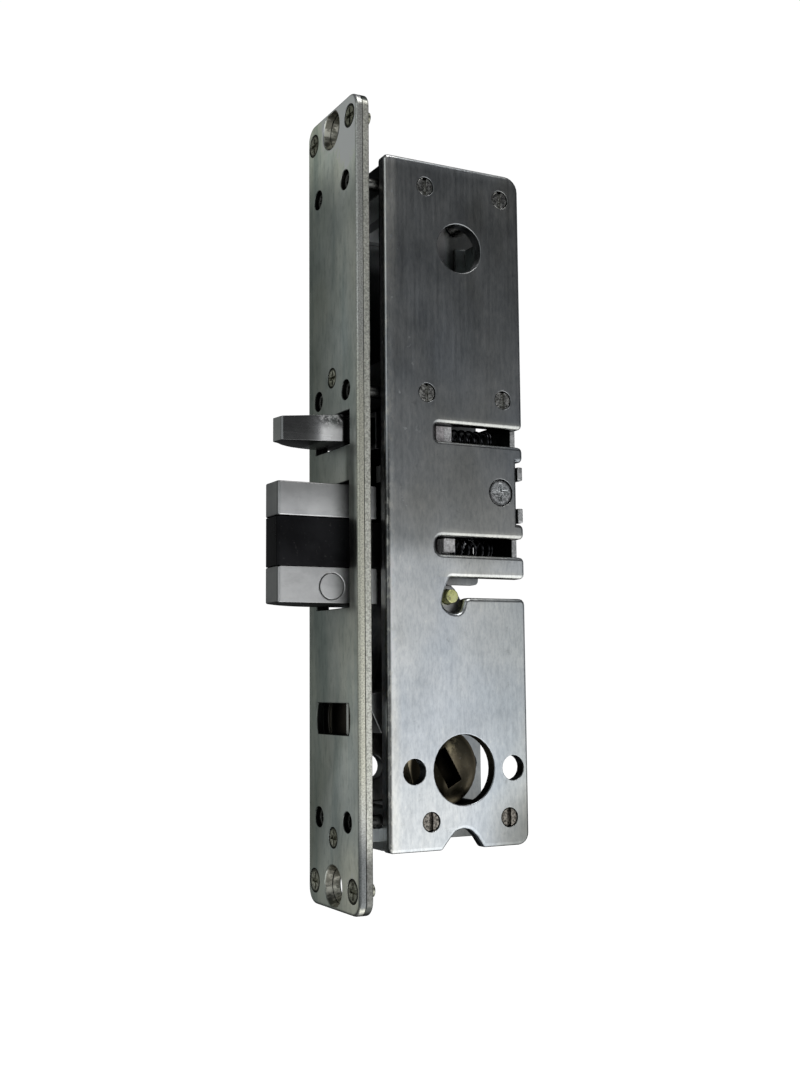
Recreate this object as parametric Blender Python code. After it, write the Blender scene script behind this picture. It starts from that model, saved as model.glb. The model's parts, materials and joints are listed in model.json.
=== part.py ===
"""Mortise latch lock for a narrow door stile: faceplate, open case, bolt, trigger bolt and their levers.

Frame: metres. X = 0 is the outer face of the faceplate and +X runs into the door. Y = 0 is the middle
of the case. Z = 0 is the height of the hub's axis and +Z is up. Lengths below are in millimetres.
"""

import math

import bmesh
import bpy
from mathutils import Matrix, Vector

MM = 0.001
FIT_GAP = 0.15
EDGE_ANGLE = math.radians(35)
LARGE_CORNER = 2.0

# Faceplate and the mounting plate behind it
PLATE_HALF_WIDTH = 12.7
PLATE_BOTTOM_Z = -28.74
PLATE_TOP_Z = 145.86
PLATE_CORNER = 3.4
FACEPLATE_X = (0.0, 1.55)
MOUNTING_PLATE_X = (1.7, 3.2)
BOLT_OPENING = (-8.5, 8.5, 34.35, 61.15)
TRIGGER_OPENING = (-8.9, 8.9, 68.9, 76.4)
WINDOW_Z = 10.97
WINDOW_RADIUS = 8.6
WINDOW_HALF_HEIGHT = 3.35
MOUNT_HOLE_Z = (-23.84, 141.3)
MOUNT_HOLE_RADIUS = 2.95
MOUNT_SINK_RADIUS = 4.45
CORNER_SCREW_Y = 9.42
CORNER_SCREW_Z = (-23.75, 141.04)
CORNER_HEAD_RADIUS = 2.45
CORNER_SHANK_RADIUS = 1.4
ADJUSTER_Y = 7.03
ADJUSTER_Z = {"upper": 127.4, "middle": 80.89, "lower": -10.08}
ADJUSTER_HEAD_RADIUS = 2.1
ADJUSTER_HEAD_X = (0.85, 1.55)
BRACKET_SCREW_Z = {"middle": 84.83, "lower": -13.85}
BRACKET_HEAD_RADIUS = 2.1
SHANK_RADIUS = 1.25
SHANK_END_X = 10.6

# Case
CASE_X = (7.33, 41.78)
CASE_Z = (-16.62, 133.28)
CASE_OUTER_Y = 11.5
CASE_INNER_Y = 8.7
CASE_FIT_Y = 8.45
POST_X = (17.48, 36.74)
POST_Z = (127.34, 81.05, -10.52)
POST_END_RADIUS = 1.95
POST_SHOULDER_RADIUS = 2.6
POST_END_Y = 11.3
UPPER_HOLE = (26.0, 114.43, 5.55)
TRIGGER_SLOT = (19.42, 70.72, 74.65)
BOLT_SLOT = (19.3, 45.95, 49.96)
NOTCH_Z = (36.74, 41.1)
REAR_INSET = (40.05, 53.3, 67.2)
EAR_CORNER = 1.1
SIDE_HOLE_X = (13.58, 37.84)
SIDE_HOLE_RADIUS = 2.72

# Hub
HUB_X = 25.64
HUB_Z = 0.0
HUB_HOLE_RADIUS = 7.5
HUB_BOSS_RADIUS = 7.25
HUB_BOSS_END_Y = 8.2
HUB_DISC_RADIUS = 8.55
HUB_DISC_Y = (-3.9, 4.2)
HUB_LOBE_HALF_Y = 4.2
HUB_SLOT = (3.9, 8.2)
HUB_SLOT_TURN = 30.0
HUB_WEB_HALF = 0.5
RING_RADII = (7.6, 8.5)
RING_Y = (4.5, 8.45)

# Bolt
BOLT_TIP_X = -15.6
BOLT_REAR_X = 7.4
BOLT_INSERT_REAR_X = 4.6
BOLT_HALF_Y = 7.0
BOLT_NOSE_Y = -0.3
BOLT_LOWER_Z = (35.1, 42.65)
BOLT_INSERT_Z = (42.8, 53.05)
BOLT_UPPER_Z = (53.2, 60.45)
BOLT_PIN = (-3.28, 38.65, 2.65)
TAIL_X = (4.8, 23.0)
TAIL_HALF_Y = 5.1
TAIL_Z = (43.0, 52.85)
TAIL_LUG_X = (19.6, 26.7)
TAIL_LUG_Z = 33.9
TAIL_LUG_SLOT = (21.8, 25.4, 35.1, 41.2)
BOLT_SPRING_Z = 48.9
SPRING_BORE_RADIUS = 2.75
SPRING_BORE_X = 9.0

# Trigger
TRIGGER_TIP_X = -14.8
TRIGGER_HEAD_REAR_X = 7.6
TRIGGER_HALF_Y = 5.74
TRIGGER_FAR_Y = 6.6
TRIGGER_NOSE_Y = -2.5
TRIGGER_ROOT_Z = (69.9, 75.7)
TRIGGER_TIP_Z = (69.2, 74.25)
TRIGGER_TAIL_X = (7.8, 24.6)
TRIGGER_TAIL_Y = 5.6
TRIGGER_TAIL_Z = (68.9, 77.2)
TRIGGER_SPRING_Z = 73.6
TRIGGER_BORE_RADIUS = 2.6
TRIGGER_BORE_X = 10.0

# Springs
SPRING_COIL_RADIUS = 2.0
SPRING_WIRE_RADIUS = 0.36
SPRING_REAR_X = 40.1

# Guide blocks beside the tails
BOLT_GUIDE = (22.9, 25.75, 46.8, 49.8)
TRIGGER_GUIDE = (21.3, 25.2, 69.5, 74.6)
GUIDE_Y = {"bolt": (5.4, 8.4), "trigger": (5.9, 8.4)}

# Covers: behind the faceplate's window, behind the bolt spring, and the strap behind the upper hole
WINDOW_COVER_X = (3.35, 4.65)
WINDOW_COVER_Y = (-5.6, 11.2)
WINDOW_COVER_Z = (5.2, 16.8)
SPRING_COVER_X = (28.2, 39.9)
SPRING_COVER_Y = (6.9, 8.4)
SPRING_COVER_Z = (44.4, 51.6)
STRAP_X = (36.2, 39.6)
STRAP_Z = (107.5, 121.5)
COVER_THICKNESS = 0.8

# Retractor lever
LEVER_PIVOT = (34.16, 15.4)
LEVER_PIVOT_RADIUS = 2.0
LEVER_PIN = (23.7, 37.0)
LEVER_PIN_RADIUS = 1.5
LEVER_PIN_Y = 10.6
LEVER_LOBE_RADIUS = 2.6
LEVER_CHEEK_Y = (5.4, 8.3)
LEVER_ARM_Y = 6.5
LEVER_FORK_Z = 27.0

# Deadlocking dog
DOG_PIVOT = (29.5, 65.2)
DOG_PIVOT_RADIUS = 1.5
DOG_HALF_Y = 3.2

# Rear retainer
RETAINER_X = (40.35, 41.7)
RETAINER_Z = (43.9, 77.0)
RETAINER_TAB_Z = ((53.7, 56.9), (63.2, 66.2))
RETAINER_SCREW = (35.86, 60.18)
RETAINER_HEAD_RADIUS = 2.9

# Brackets that carry the mounting plate
BRACKET_X = (7.6, 10.2)
BRACKET_EAR_X = 20.9
BRACKET_EAR_Y = 6.5
BRACKET_TONGUE = (3.4, -14.4, -11.8)
BRACKET_TONGUE_Y = (3.0, 6.6)
BRACKET_Z = {"upper": (119.4, 131.4), "middle": (77.6, 87.6), "lower": (-16.2, -7.25)}

MATERIALS = {
    "faceplate_zinc": ((0.36, 0.36, 0.33), 0.38, 1.0),
    "case_zinc": ((0.55, 0.56, 0.57), 0.32, 1.0),
    "screw_zinc": ((0.60, 0.57, 0.46), 0.35, 1.0),
    "post_nickel": ((0.66, 0.65, 0.62), 0.28, 1.0),
    "bolt_steel": ((0.68, 0.68, 0.67), 0.34, 1.0),
    "insert_black": ((0.03, 0.03, 0.035), 0.45, 0.3),
    "trigger_steel": ((0.50, 0.50, 0.49), 0.22, 1.0),
    "hub_bronze": ((0.28, 0.22, 0.15), 0.50, 1.0),
    "lever_steel": ((0.62, 0.62, 0.60), 0.30, 1.0),
    "brass": ((0.78, 0.60, 0.28), 0.28, 1.0),
    "spring_steel": ((0.42, 0.42, 0.43), 0.30, 1.0),
}


def clear_scene():
    for obj in list(bpy.data.objects):
        bpy.data.objects.remove(obj)


def material(name):
    found = bpy.data.materials.get(name)
    if found:
        return found
    colour, roughness, metallic = MATERIALS[name]
    made = bpy.data.materials.new(name)
    made.use_nodes = True
    shader = made.node_tree.nodes["Principled BSDF"]
    shader.inputs["Base Color"].default_value = (*colour, 1.0)
    shader.inputs["Roughness"].default_value = roughness
    shader.inputs["Metallic"].default_value = metallic
    return made


def placed(axis, u, v, along):
    """The point whose section coordinates are u, v across the axis: (y, z), (x, z) or (x, y)."""
    if axis == "X":
        return (along, u, v)
    if axis == "Y":
        return (u, along, v)
    return (u, v, along)


def arc(centre, radius, start, end, count):
    """Points of an arc, angles in degrees from the first section axis towards the second."""
    steps = [math.radians(start + (end - start) * i / count) for i in range(count + 1)]
    return [(centre[0] + radius * math.cos(a), centre[1] + radius * math.sin(a)) for a in steps]


def circle(centre, radius, count=20):
    return arc(centre, radius, 0, 360, count)[:-1]


def rectangle(low_u, high_u, low_v, high_v):
    return [(low_u, low_v), (high_u, low_v), (high_u, high_v), (low_u, high_v)]


def filleted(corners, steps=3):
    """An outline with each corner (u, v, radius) rounded; a radius of 0 leaves the corner sharp."""
    points = []
    for i, (u, v, radius) in enumerate(corners):
        corner = Vector((u, v))
        if not radius:
            points.append((u, v))
            continue
        before = (Vector(corners[i - 1][:2]) - corner).normalized()
        after = (Vector(corners[(i + 1) % len(corners)][:2]) - corner).normalized()
        half = before.angle(after) / 2
        centre = corner + (before + after).normalized() * radius / math.sin(half)
        first = corner + before * radius / math.tan(half) - centre
        sweep = first.angle_signed(corner + after * radius / math.tan(half) - centre)
        count = steps if radius < LARGE_CORNER else 2 * steps
        for k in range(count + 1):
            turned = first.copy()
            turned.rotate(Matrix.Rotation(-sweep * k / count, 2))
            points.append(tuple(centre + turned))
    return points


def rounded_rectangle(low_u, high_u, low_v, high_v, radius, steps=4):
    corners = [(u, v, radius) for u, v in rectangle(low_u, high_u, low_v, high_v)]
    return filleted(corners, steps)


def add_prism(mesh, outline, axis, low, high):
    """Adds a closed prism of this outline, from low to high along the axis."""
    rings = []
    for along in (low, high):
        rings.append([mesh.verts.new([c * MM for c in placed(axis, u, v, along)]) for u, v in outline])
    first, last = rings
    count = len(outline)
    mesh.faces.new(first)
    mesh.faces.new(last[::-1])
    for i in range(count):
        j = (i + 1) % count
        mesh.faces.new((first[j], first[i], last[i], last[j]))


def add_turned(mesh, profile, axis, centre, count=20):
    """Adds a solid of revolution: profile holds (position along the axis, radius) pairs."""
    rings = []
    for along, radius in profile:
        ring = [placed(axis, u, v, along) for u, v in circle(centre, radius, count)]
        rings.append([mesh.verts.new([c * MM for c in point]) for point in ring])
    mesh.faces.new(rings[0])
    mesh.faces.new(rings[-1][::-1])
    for first, last in zip(rings, rings[1:]):
        for i in range(count):
            j = (i + 1) % count
            mesh.faces.new((first[j], first[i], last[i], last[j]))


def finished(mesh, name):
    bmesh.ops.recalc_face_normals(mesh, faces=mesh.faces)
    data = bpy.data.meshes.new(name)
    mesh.to_mesh(data)
    mesh.free()
    return data


def solid(name, material_name, shapes, cuts=(), origin=(0.0, 0.0, 0.0), joined=()):
    """An object made of the first shape, with the joined shapes added and the cuts taken out of it."""
    mesh = bmesh.new()
    for add, *values in shapes:
        add(mesh, *values)
    obj = bpy.data.objects.new(name, finished(mesh, name))
    bpy.context.scene.collection.objects.link(obj)
    for operation, tools in (("UNION", joined), ("DIFFERENCE", cuts)):
        for number, tool in enumerate(tools):
            cutter_mesh = bmesh.new()
            for add, *values in tool:
                add(cutter_mesh, *values)
            label = f"{name}_{operation.lower()}_{number}"
            cutter = bpy.data.objects.new(label, finished(cutter_mesh, label))
            cutter.hide_render = True
            cutter.display_type = "WIRE"
            bpy.context.scene.collection.objects.link(cutter)
            boolean = obj.modifiers.new(label, "BOOLEAN")
            boolean.operation = operation
            boolean.solver = "EXACT"
            boolean.object = cutter
    obj.data.materials.append(material(material_name))
    bpy.context.view_layer.update()
    evaluated = obj.evaluated_get(bpy.context.evaluated_depsgraph_get())
    whole = bpy.data.meshes.new_from_object(evaluated)
    obj.modifiers.clear()
    obj.data = whole
    whole.name = name
    place_origin(obj, origin)
    whole.shade_smooth()
    whole.set_sharp_from_angle(angle=EDGE_ANGLE)
    return obj


def place_origin(obj, origin):
    """Puts the object's origin here, in millimetres, with its shape left where it is."""
    shift = [c * MM for c in origin]
    for vertex in obj.data.vertices:
        for i in range(3):
            vertex.co[i] -= shift[i]
    obj.location = shift


def cross_recess(centre, half_length, half_width):
    """A cross-shaped outline for a screwdriver recess."""
    u, v = centre
    long_side, short_side = half_length, half_width
    corners = [
        (long_side, -short_side), (long_side, short_side), (short_side, short_side),
        (short_side, long_side), (-short_side, long_side), (-short_side, short_side),
        (-long_side, short_side), (-long_side, -short_side), (-short_side, -short_side),
        (-short_side, -long_side), (short_side, -long_side), (short_side, -short_side),
    ]
    return [(u + du, v + dv) for du, dv in corners]


def plate_outline():
    return rounded_rectangle(
        -PLATE_HALF_WIDTH, PLATE_HALF_WIDTH, PLATE_BOTTOM_Z, PLATE_TOP_Z, PLATE_CORNER
    )


def window_outline():
    lift = math.degrees(math.asin(WINDOW_HALF_HEIGHT / WINDOW_RADIUS))
    centre = (0.0, WINDOW_Z)
    return arc(centre, WINDOW_RADIUS, -lift, lift, 5) + arc(centre, WINDOW_RADIUS, 180 - lift, 180 + lift, 5)


def make_faceplate():
    low, high = FACEPLATE_X[0] - 1, FACEPLATE_X[1] + 1
    holes = [
        (add_prism, rectangle(*BOLT_OPENING), "X", low, high),
        (add_prism, rectangle(*TRIGGER_OPENING), "X", low, high),
        (add_prism, window_outline(), "X", low, high),
    ]
    for z in MOUNT_HOLE_Z:
        slope = (MOUNT_SINK_RADIUS - MOUNT_HOLE_RADIUS) / MOUNTING_PLATE_X[1]
        profile = [(low, MOUNT_SINK_RADIUS - low * slope), (high, MOUNT_SINK_RADIUS - high * slope)]
        holes.append((add_turned, profile, "X", (0.0, z), 24))
    for y in (-CORNER_SCREW_Y, CORNER_SCREW_Y):
        for z in CORNER_SCREW_Z:
            holes.append((add_prism, circle((y, z), CORNER_HEAD_RADIUS + FIT_GAP), "X", low, high))
    for y in (-ADJUSTER_Y, ADJUSTER_Y):
        for z in ADJUSTER_Z.values():
            holes.append((add_prism, circle((y, z), ADJUSTER_HEAD_RADIUS + FIT_GAP), "X", low, high))
    for z in BRACKET_SCREW_Z.values():
        holes.append((add_prism, circle((0.0, z), BRACKET_HEAD_RADIUS + FIT_GAP), "X", low, high))
    return solid("faceplate", "faceplate_zinc", [(add_prism, plate_outline(), "X", *FACEPLATE_X)], [holes])


def make_mounting_plate():
    low, high = MOUNTING_PLATE_X[0] - 1, MOUNTING_PLATE_X[1] + 1
    holes = [
        (add_prism, rectangle(*BOLT_OPENING), "X", low, high),
        (add_prism, rectangle(*TRIGGER_OPENING), "X", low, high),
        (add_prism, window_outline(), "X", low, high),
    ]
    for z in MOUNT_HOLE_Z:
        slope = (MOUNT_SINK_RADIUS - MOUNT_HOLE_RADIUS) / MOUNTING_PLATE_X[1]
        profile = [(low, MOUNT_SINK_RADIUS - low * slope), (MOUNTING_PLATE_X[1], MOUNT_HOLE_RADIUS),
                   (high, MOUNT_HOLE_RADIUS)]
        holes.append((add_turned, profile, "X", (0.0, z), 24))
    for y in (-CORNER_SCREW_Y, CORNER_SCREW_Y):
        for z in CORNER_SCREW_Z:
            holes.append((add_prism, circle((y, z), CORNER_SHANK_RADIUS + FIT_GAP), "X", low, high))
    for y in (-ADJUSTER_Y, ADJUSTER_Y):
        for z in ADJUSTER_Z.values():
            holes.append((add_prism, circle((y, z), SHANK_RADIUS + FIT_GAP, 16), "X", low, high))
    for z in BRACKET_SCREW_Z.values():
        holes.append((add_prism, circle((0.0, z), SHANK_RADIUS + FIT_GAP, 16), "X", low, high))
    shape = [(add_prism, plate_outline(), "X", *MOUNTING_PLATE_X)]
    return solid("mounting_plate", "faceplate_zinc", shape, [holes])


def make_faceplate_screws():
    number = 0
    for z in reversed(CORNER_SCREW_Z):
        for y in (-CORNER_SCREW_Y, CORNER_SCREW_Y):
            number += 1
            profile = [(0.05, CORNER_HEAD_RADIUS), (0.5, CORNER_HEAD_RADIUS), (1.5, CORNER_SHANK_RADIUS),
                       (4.6, CORNER_SHANK_RADIUS)]
            recess = [(add_prism, cross_recess((y, z), 1.75, 0.38), "X", -0.5, 0.85)]
            shape = [(add_turned, profile, "X", (y, z), 20)]
            solid(f"faceplate_screw_{number}", "screw_zinc", shape, [recess], (0.0, y, z))


def make_adjusters():
    number = 0
    for z in ADJUSTER_Z.values():
        for y in (-ADJUSTER_Y, ADJUSTER_Y):
            number += 1
            front, back = ADJUSTER_HEAD_X
            profile = [(front, ADJUSTER_HEAD_RADIUS), (back, ADJUSTER_HEAD_RADIUS), (back, SHANK_RADIUS),
                       (SHANK_END_X, SHANK_RADIUS)]
            recess = [(add_prism, circle((y, z), 1.15, 6), "X", -0.5, back)]
            shape = [(add_turned, profile, "X", (y, z), 16)]
            solid(f"adjusting_screw_{number}", "post_nickel", shape, [recess], (0.0, y, z))


def make_bracket_screws():
    for place, z in BRACKET_SCREW_Z.items():
        profile = [(0.1, BRACKET_HEAD_RADIUS), (1.55, BRACKET_HEAD_RADIUS), (1.55, SHANK_RADIUS),
                   (SHANK_END_X, SHANK_RADIUS)]
        recess = [(add_prism, cross_recess((0.0, z), 1.5, 0.34), "X", -0.5, 0.9)]
        shape = [(add_turned, profile, "X", (0.0, z), 16)]
        solid(f"bracket_screw_{place}", "screw_zinc", shape, [recess], (0.0, 0.0, z))


def make_brackets():
    """Three bent brackets: a front web that takes the screws and two ears held by the case posts."""
    for (place, (low, high)), post_z in zip(BRACKET_Z.items(), POST_Z):
        outline = rectangle(BRACKET_X[0], BRACKET_EAR_X, -CASE_FIT_Y, CASE_FIT_Y)
        hollow = rectangle(BRACKET_X[1], BRACKET_EAR_X + 1, -BRACKET_EAR_Y, BRACKET_EAR_Y)
        cuts = [[(add_prism, hollow, "Z", low - 1, high + 1)]]
        post = circle((POST_X[0], post_z), POST_SHOULDER_RADIUS + FIT_GAP)
        cuts.append([(add_prism, post, "Y", -CASE_FIT_Y - 1, CASE_FIT_Y + 1)])
        screws = []
        for y in (-ADJUSTER_Y, ADJUSTER_Y):
            hole = circle((y, ADJUSTER_Z[place]), SHANK_RADIUS + FIT_GAP, 16)
            screws.append((add_prism, hole, "X", BRACKET_X[0] - 1, SHANK_END_X + 0.6))
        if place in BRACKET_SCREW_Z:
            hole = circle((0.0, BRACKET_SCREW_Z[place]), SHANK_RADIUS + FIT_GAP, 16)
            screws.append((add_prism, hole, "X", BRACKET_X[0] - 1, BRACKET_X[1] + 1))
        cuts.append(screws)
        joined = []
        if place == "lower":
            front, tongue_low, tongue_high = BRACKET_TONGUE
            inner, outer = BRACKET_TONGUE_Y
            for start, end in ((-outer, -inner), (inner, outer)):
                tongue = rectangle(front, BRACKET_X[0] + 0.5, start, end)
                joined.append([(add_prism, tongue, "Z", tongue_low, tongue_high)])
        shape = [(add_prism, outline, "Z", low, high)]
        solid(f"bracket_{place}", "lever_steel", shape, cuts, joined=joined)


def side_plate_outline():
    front, rear = CASE_X
    bottom, top = CASE_Z
    inset, inset_low, inset_high = REAR_INSET
    trigger_left, trigger_low, trigger_high = TRIGGER_SLOT
    bolt_left, bolt_low, bolt_high = BOLT_SLOT
    notch_low, notch_high = NOTCH_Z
    ear = EAR_CORNER
    corners = [
        (front, top, 1.2), (rear, top, 3.4),
        (rear, trigger_high, ear), (trigger_left, trigger_high, 0.9),
        (trigger_left, trigger_low, 0.9), (rear, trigger_low, ear),
        (rear, inset_high, ear), (inset, inset_high, 0), (inset, inset_low, 0), (rear, inset_low, ear),
        (rear, bolt_high, ear), (bolt_left, bolt_high, 1.5), (bolt_left, bolt_low, 1.5), (rear, bolt_low, ear),
        (rear, notch_high, 1.1), (22.7, notch_high, 0.6), (21.75, 38.9, 0), (21.1, 37.1, 0), (20.85, 35.6, 0),
        (21.2, 34.7, 0), (21.9, 34.0, 0), (22.7, 33.5, 0), (23.6, 33.3, 0), (24.6, 33.35, 0), (25.3, 33.7, 0),
        (25.8, 34.4, 0), (26.15, 35.5, 0), (26.35, 36.3, 0), (27.5, notch_low - 0.03, 0),
        (rear, notch_low, 1.3), (rear, bottom, 2.6),
        (30.3, bottom, 1.0), (28.6, -14.1, 1.5), (27.2, -12.75, 1.5), (25.4, -12.35, 1.5), (23.6, -12.8, 1.2),
        (22.5, -13.9, 0.9), (20.2, bottom, 0.9), (front, bottom, 1.2),
    ]
    return filleted(corners)


def make_side_plates():
    holes = [circle((x, z), POST_END_RADIUS + FIT_GAP) for x in POST_X for z in POST_Z]
    holes.append(circle(UPPER_HOLE[:2], UPPER_HOLE[2], 28))
    holes.append(circle((HUB_X, HUB_Z), HUB_HOLE_RADIUS, 32))
    holes += [circle((x, HUB_Z), SIDE_HOLE_RADIUS) for x in SIDE_HOLE_X]
    screw_hole = circle(RETAINER_SCREW, RETAINER_HEAD_RADIUS + FIT_GAP)
    for name, low, high, more in (
        ("near_side_plate", -CASE_OUTER_Y, -CASE_INNER_Y, [screw_hole]),
        ("far_side_plate", CASE_INNER_Y, CASE_OUTER_Y, []),
    ):
        cuts = [(add_prism, outline, "Y", low - 1, high + 1) for outline in holes + more]
        solid(name, "case_zinc", [(add_prism, side_plate_outline(), "Y", low, high)], [cuts])


def make_posts():
    number = 0
    shoulder = CASE_FIT_Y
    for z in POST_Z:
        for x in POST_X:
            number += 1
            profile = [(-POST_END_Y, POST_END_RADIUS), (-shoulder, POST_END_RADIUS),
                       (-shoulder, POST_SHOULDER_RADIUS), (shoulder, POST_SHOULDER_RADIUS),
                       (shoulder, POST_END_RADIUS), (POST_END_Y, POST_END_RADIUS)]
            slots = [
                (add_prism, rectangle(x - 0.45, x + 0.45, z - 3.5, z + 3.5), "Y", low, high)
                for low, high in ((-POST_END_Y - 1, -POST_END_Y + 0.8), (POST_END_Y - 0.8, POST_END_Y + 1))
            ]
            solid(f"case_post_{number}", "post_nickel", [(add_turned, profile, "Y", (x, z), 20)], [slots],
                  (x, 0.0, z))


def make_retainer():
    """The wall across the rear of the case, with a tab through each side plate's inset and a screw lug."""
    low, high = RETAINER_Z
    wall = rectangle(-CASE_FIT_Y, CASE_FIT_Y, low, high)
    joined = [
        [(add_prism, rectangle(-POST_END_Y, POST_END_Y, *tab), "X", *RETAINER_X)] for tab in RETAINER_TAB_Z
    ]
    x, z = RETAINER_SCREW
    joined.append([(add_prism, rectangle(x - 2.6, RETAINER_X[1], z - 2.6, z + 2.6), "Y", -CASE_FIT_Y, -3.6)])
    cuts = [[(add_prism, circle((x, z), 1.6 + FIT_GAP, 16), "Y", -CASE_FIT_Y - 1, -2.6)]]
    solid("rear_retainer", "lever_steel", [(add_prism, wall, "X", *RETAINER_X)], cuts, joined=joined)
    profile = [(-11.35, RETAINER_HEAD_RADIUS), (-8.9, RETAINER_HEAD_RADIUS), (-8.6, 1.6), (-3.8, 1.6)]
    recess = [(add_prism, cross_recess((x, z), 2.0, 0.4), "Y", -12.5, -10.3)]
    solid("retainer_screw", "screw_zinc", [(add_turned, profile, "Y", (x, z), 20)], [recess], (x, 0.0, z))


def make_guides():
    """The blocks that guide the tails, one on the inside of each side plate."""
    for owner, (front, rear, low, high) in (("bolt", BOLT_GUIDE), ("trigger", TRIGGER_GUIDE)):
        inner, outer = GUIDE_Y[owner]
        for side, start, end in (("near", -outer, -inner), ("far", inner, outer)):
            shape = [(add_prism, rectangle(front, rear, low, high), "Y", start, end)]
            solid(f"{owner}_guide_{side}", "lever_steel", shape)


def make_covers():
    """Three folded strips: they close the window, the far side of the bolt spring and the case's rear at the top."""
    front, rear = WINDOW_COVER_X
    near, far = WINDOW_COVER_Y
    plan = [(front, near), (rear, near), (rear, far), (front, far), (front, far - 3.6), (front + 0.45, far - 4.4),
            (front + 0.45, near + 1.4), (front, near + 0.8)]
    solid("window_cover", "lever_steel", [(add_prism, plan, "Z", *WINDOW_COVER_Z)])
    inner, outer = SPRING_COVER_Y
    low, high = SPRING_COVER_Z
    channel = rectangle(inner, outer, low, high)
    hollow = rectangle(inner - 1, outer - COVER_THICKNESS, low + COVER_THICKNESS, high - COVER_THICKNESS)
    cuts = [[(add_prism, hollow, "X", SPRING_COVER_X[0] - 1, SPRING_COVER_X[1] + 1)]]
    solid("bolt_spring_cover", "lever_steel", [(add_prism, channel, "X", *SPRING_COVER_X)], cuts)
    ears = rectangle(*STRAP_X, -CASE_FIT_Y, CASE_FIT_Y)
    inside = CASE_FIT_Y - COVER_THICKNESS
    hollow = rectangle(STRAP_X[0] - 1, STRAP_X[1] - COVER_THICKNESS, -inside, inside)
    cuts = [[(add_prism, hollow, "Z", STRAP_Z[0] - 1, STRAP_Z[1] + 1)]]
    solid("rear_strap", "lever_steel", [(add_prism, ears, "Z", *STRAP_Z)], cuts)


def bolt_plan(rear):
    """Plan of the bolt: one straight side and one side that curves away towards the tip."""
    corner = 0.5
    return [
        (rear, -BOLT_HALF_Y), (rear, BOLT_HALF_Y), (-3.4, BOLT_HALF_Y), (-5.4, 6.75), (-8.0, 5.9),
        (-10.6, 4.45), (-13.0, 2.5), (BOLT_TIP_X + 0.35, 0.15), (BOLT_TIP_X, BOLT_NOSE_Y - 0.4),
        (BOLT_TIP_X, -BOLT_HALF_Y + corner), (BOLT_TIP_X + corner, -BOLT_HALF_Y),
    ]


def make_bolt():
    x, z, radius = BOLT_PIN
    pin_hole = [[(add_prism, circle((x, z), radius + FIT_GAP), "Y", -BOLT_HALF_Y - 1, BOLT_HALF_Y - 1)]]
    axis = (0.0, 0.0, BOLT_SPRING_Z)
    whole = bolt_plan(BOLT_REAR_X)
    solid("bolt_lower_laminate", "bolt_steel", [(add_prism, whole, "Z", *BOLT_LOWER_Z)], pin_hole, axis)
    solid("bolt_upper_laminate", "bolt_steel", [(add_prism, whole, "Z", *BOLT_UPPER_Z)], (), axis)
    insert = bolt_plan(BOLT_INSERT_REAR_X)
    solid("bolt_insert", "insert_black", [(add_prism, insert, "Z", *BOLT_INSERT_Z)], (), axis)
    pin = [(-BOLT_HALF_Y + 0.05, radius), (BOLT_HALF_Y - 1.2, radius)]
    solid("bolt_cross_pin", "bolt_steel", [(add_turned, pin, "Y", (x, z), 20)], (), axis)
    make_bolt_tail(axis)


def make_bolt_tail(axis):
    """The stem behind the bolt: a block bored for the spring, with a slotted lug below for the lever's pin."""
    front, rear = TAIL_X
    low, high = TAIL_Z
    lug_front, lug_rear = TAIL_LUG_X
    outline = [(front, low), (lug_front, low), (lug_front, TAIL_LUG_Z), (lug_rear, TAIL_LUG_Z),
               (lug_rear, low + 0.1), (rear, low + 0.1), (rear, high), (front, high)]
    cuts = [
        [(add_turned, [(SPRING_BORE_X, SPRING_BORE_RADIUS), (rear + 1, SPRING_BORE_RADIUS)], "X",
          (0.0, BOLT_SPRING_Z), 20)],
        [(add_prism, rounded_rectangle(*TAIL_LUG_SLOT, 1.2), "Y", -TAIL_HALF_Y - 1, TAIL_HALF_Y + 1)],
    ]
    shape = [(add_prism, outline, "Y", -TAIL_HALF_Y, TAIL_HALF_Y)]
    solid("bolt_tail", "lever_steel", shape, cuts, axis)


def add_trigger_head(mesh):
    """The trigger's head: a bullet-shaped plan whose top and bottom draw in towards the tip."""
    near, far = -TRIGGER_HALF_Y, TRIGGER_FAR_Y
    plan = [
        (TRIGGER_HEAD_REAR_X, near), (TRIGGER_HEAD_REAR_X, TRIGGER_HALF_Y), (3.4, TRIGGER_HALF_Y), (2.5, far),
        (0.3, far), (-1.5, 6.3), (-3.2, 5.85), (-5.3, 5.05), (-8.0, 3.75), (-10.0, 2.3), (-11.6, 0.85),
        (-13.0, -0.8), (TRIGGER_TIP_X + 0.3, TRIGGER_NOSE_Y + 0.4), (TRIGGER_TIP_X, TRIGGER_NOSE_Y),
        (TRIGGER_TIP_X + 0.6, near + 0.4), (TRIGGER_TIP_X + 1.0, near), (0.0, near),
    ]
    add_prism(mesh, plan, "Z", 0.0, 1.0)
    for vertex in mesh.verts:
        share = min(max(vertex.co.x / (TRIGGER_TIP_X * MM), 0.0), 1.0)
        side = 1 if vertex.co.z > 0 else 0
        vertex.co.z = MM * (TRIGGER_ROOT_Z[side] + share * (TRIGGER_TIP_Z[side] - TRIGGER_ROOT_Z[side]))


def make_trigger():
    axis = (0.0, 0.0, TRIGGER_SPRING_Z)
    solid("trigger_head", "trigger_steel", [(add_trigger_head,)], (), axis)
    front, rear = TRIGGER_TAIL_X
    outline = rectangle(-TRIGGER_TAIL_Y, TRIGGER_TAIL_Y, *TRIGGER_TAIL_Z)
    bore = [(TRIGGER_BORE_X, TRIGGER_BORE_RADIUS), (rear + 1, TRIGGER_BORE_RADIUS)]
    cuts = [[(add_turned, bore, "X", (0.0, TRIGGER_SPRING_Z), 20)]]
    solid("trigger_tail", "lever_steel", [(add_prism, outline, "X", front, rear)], cuts, axis)


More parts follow.
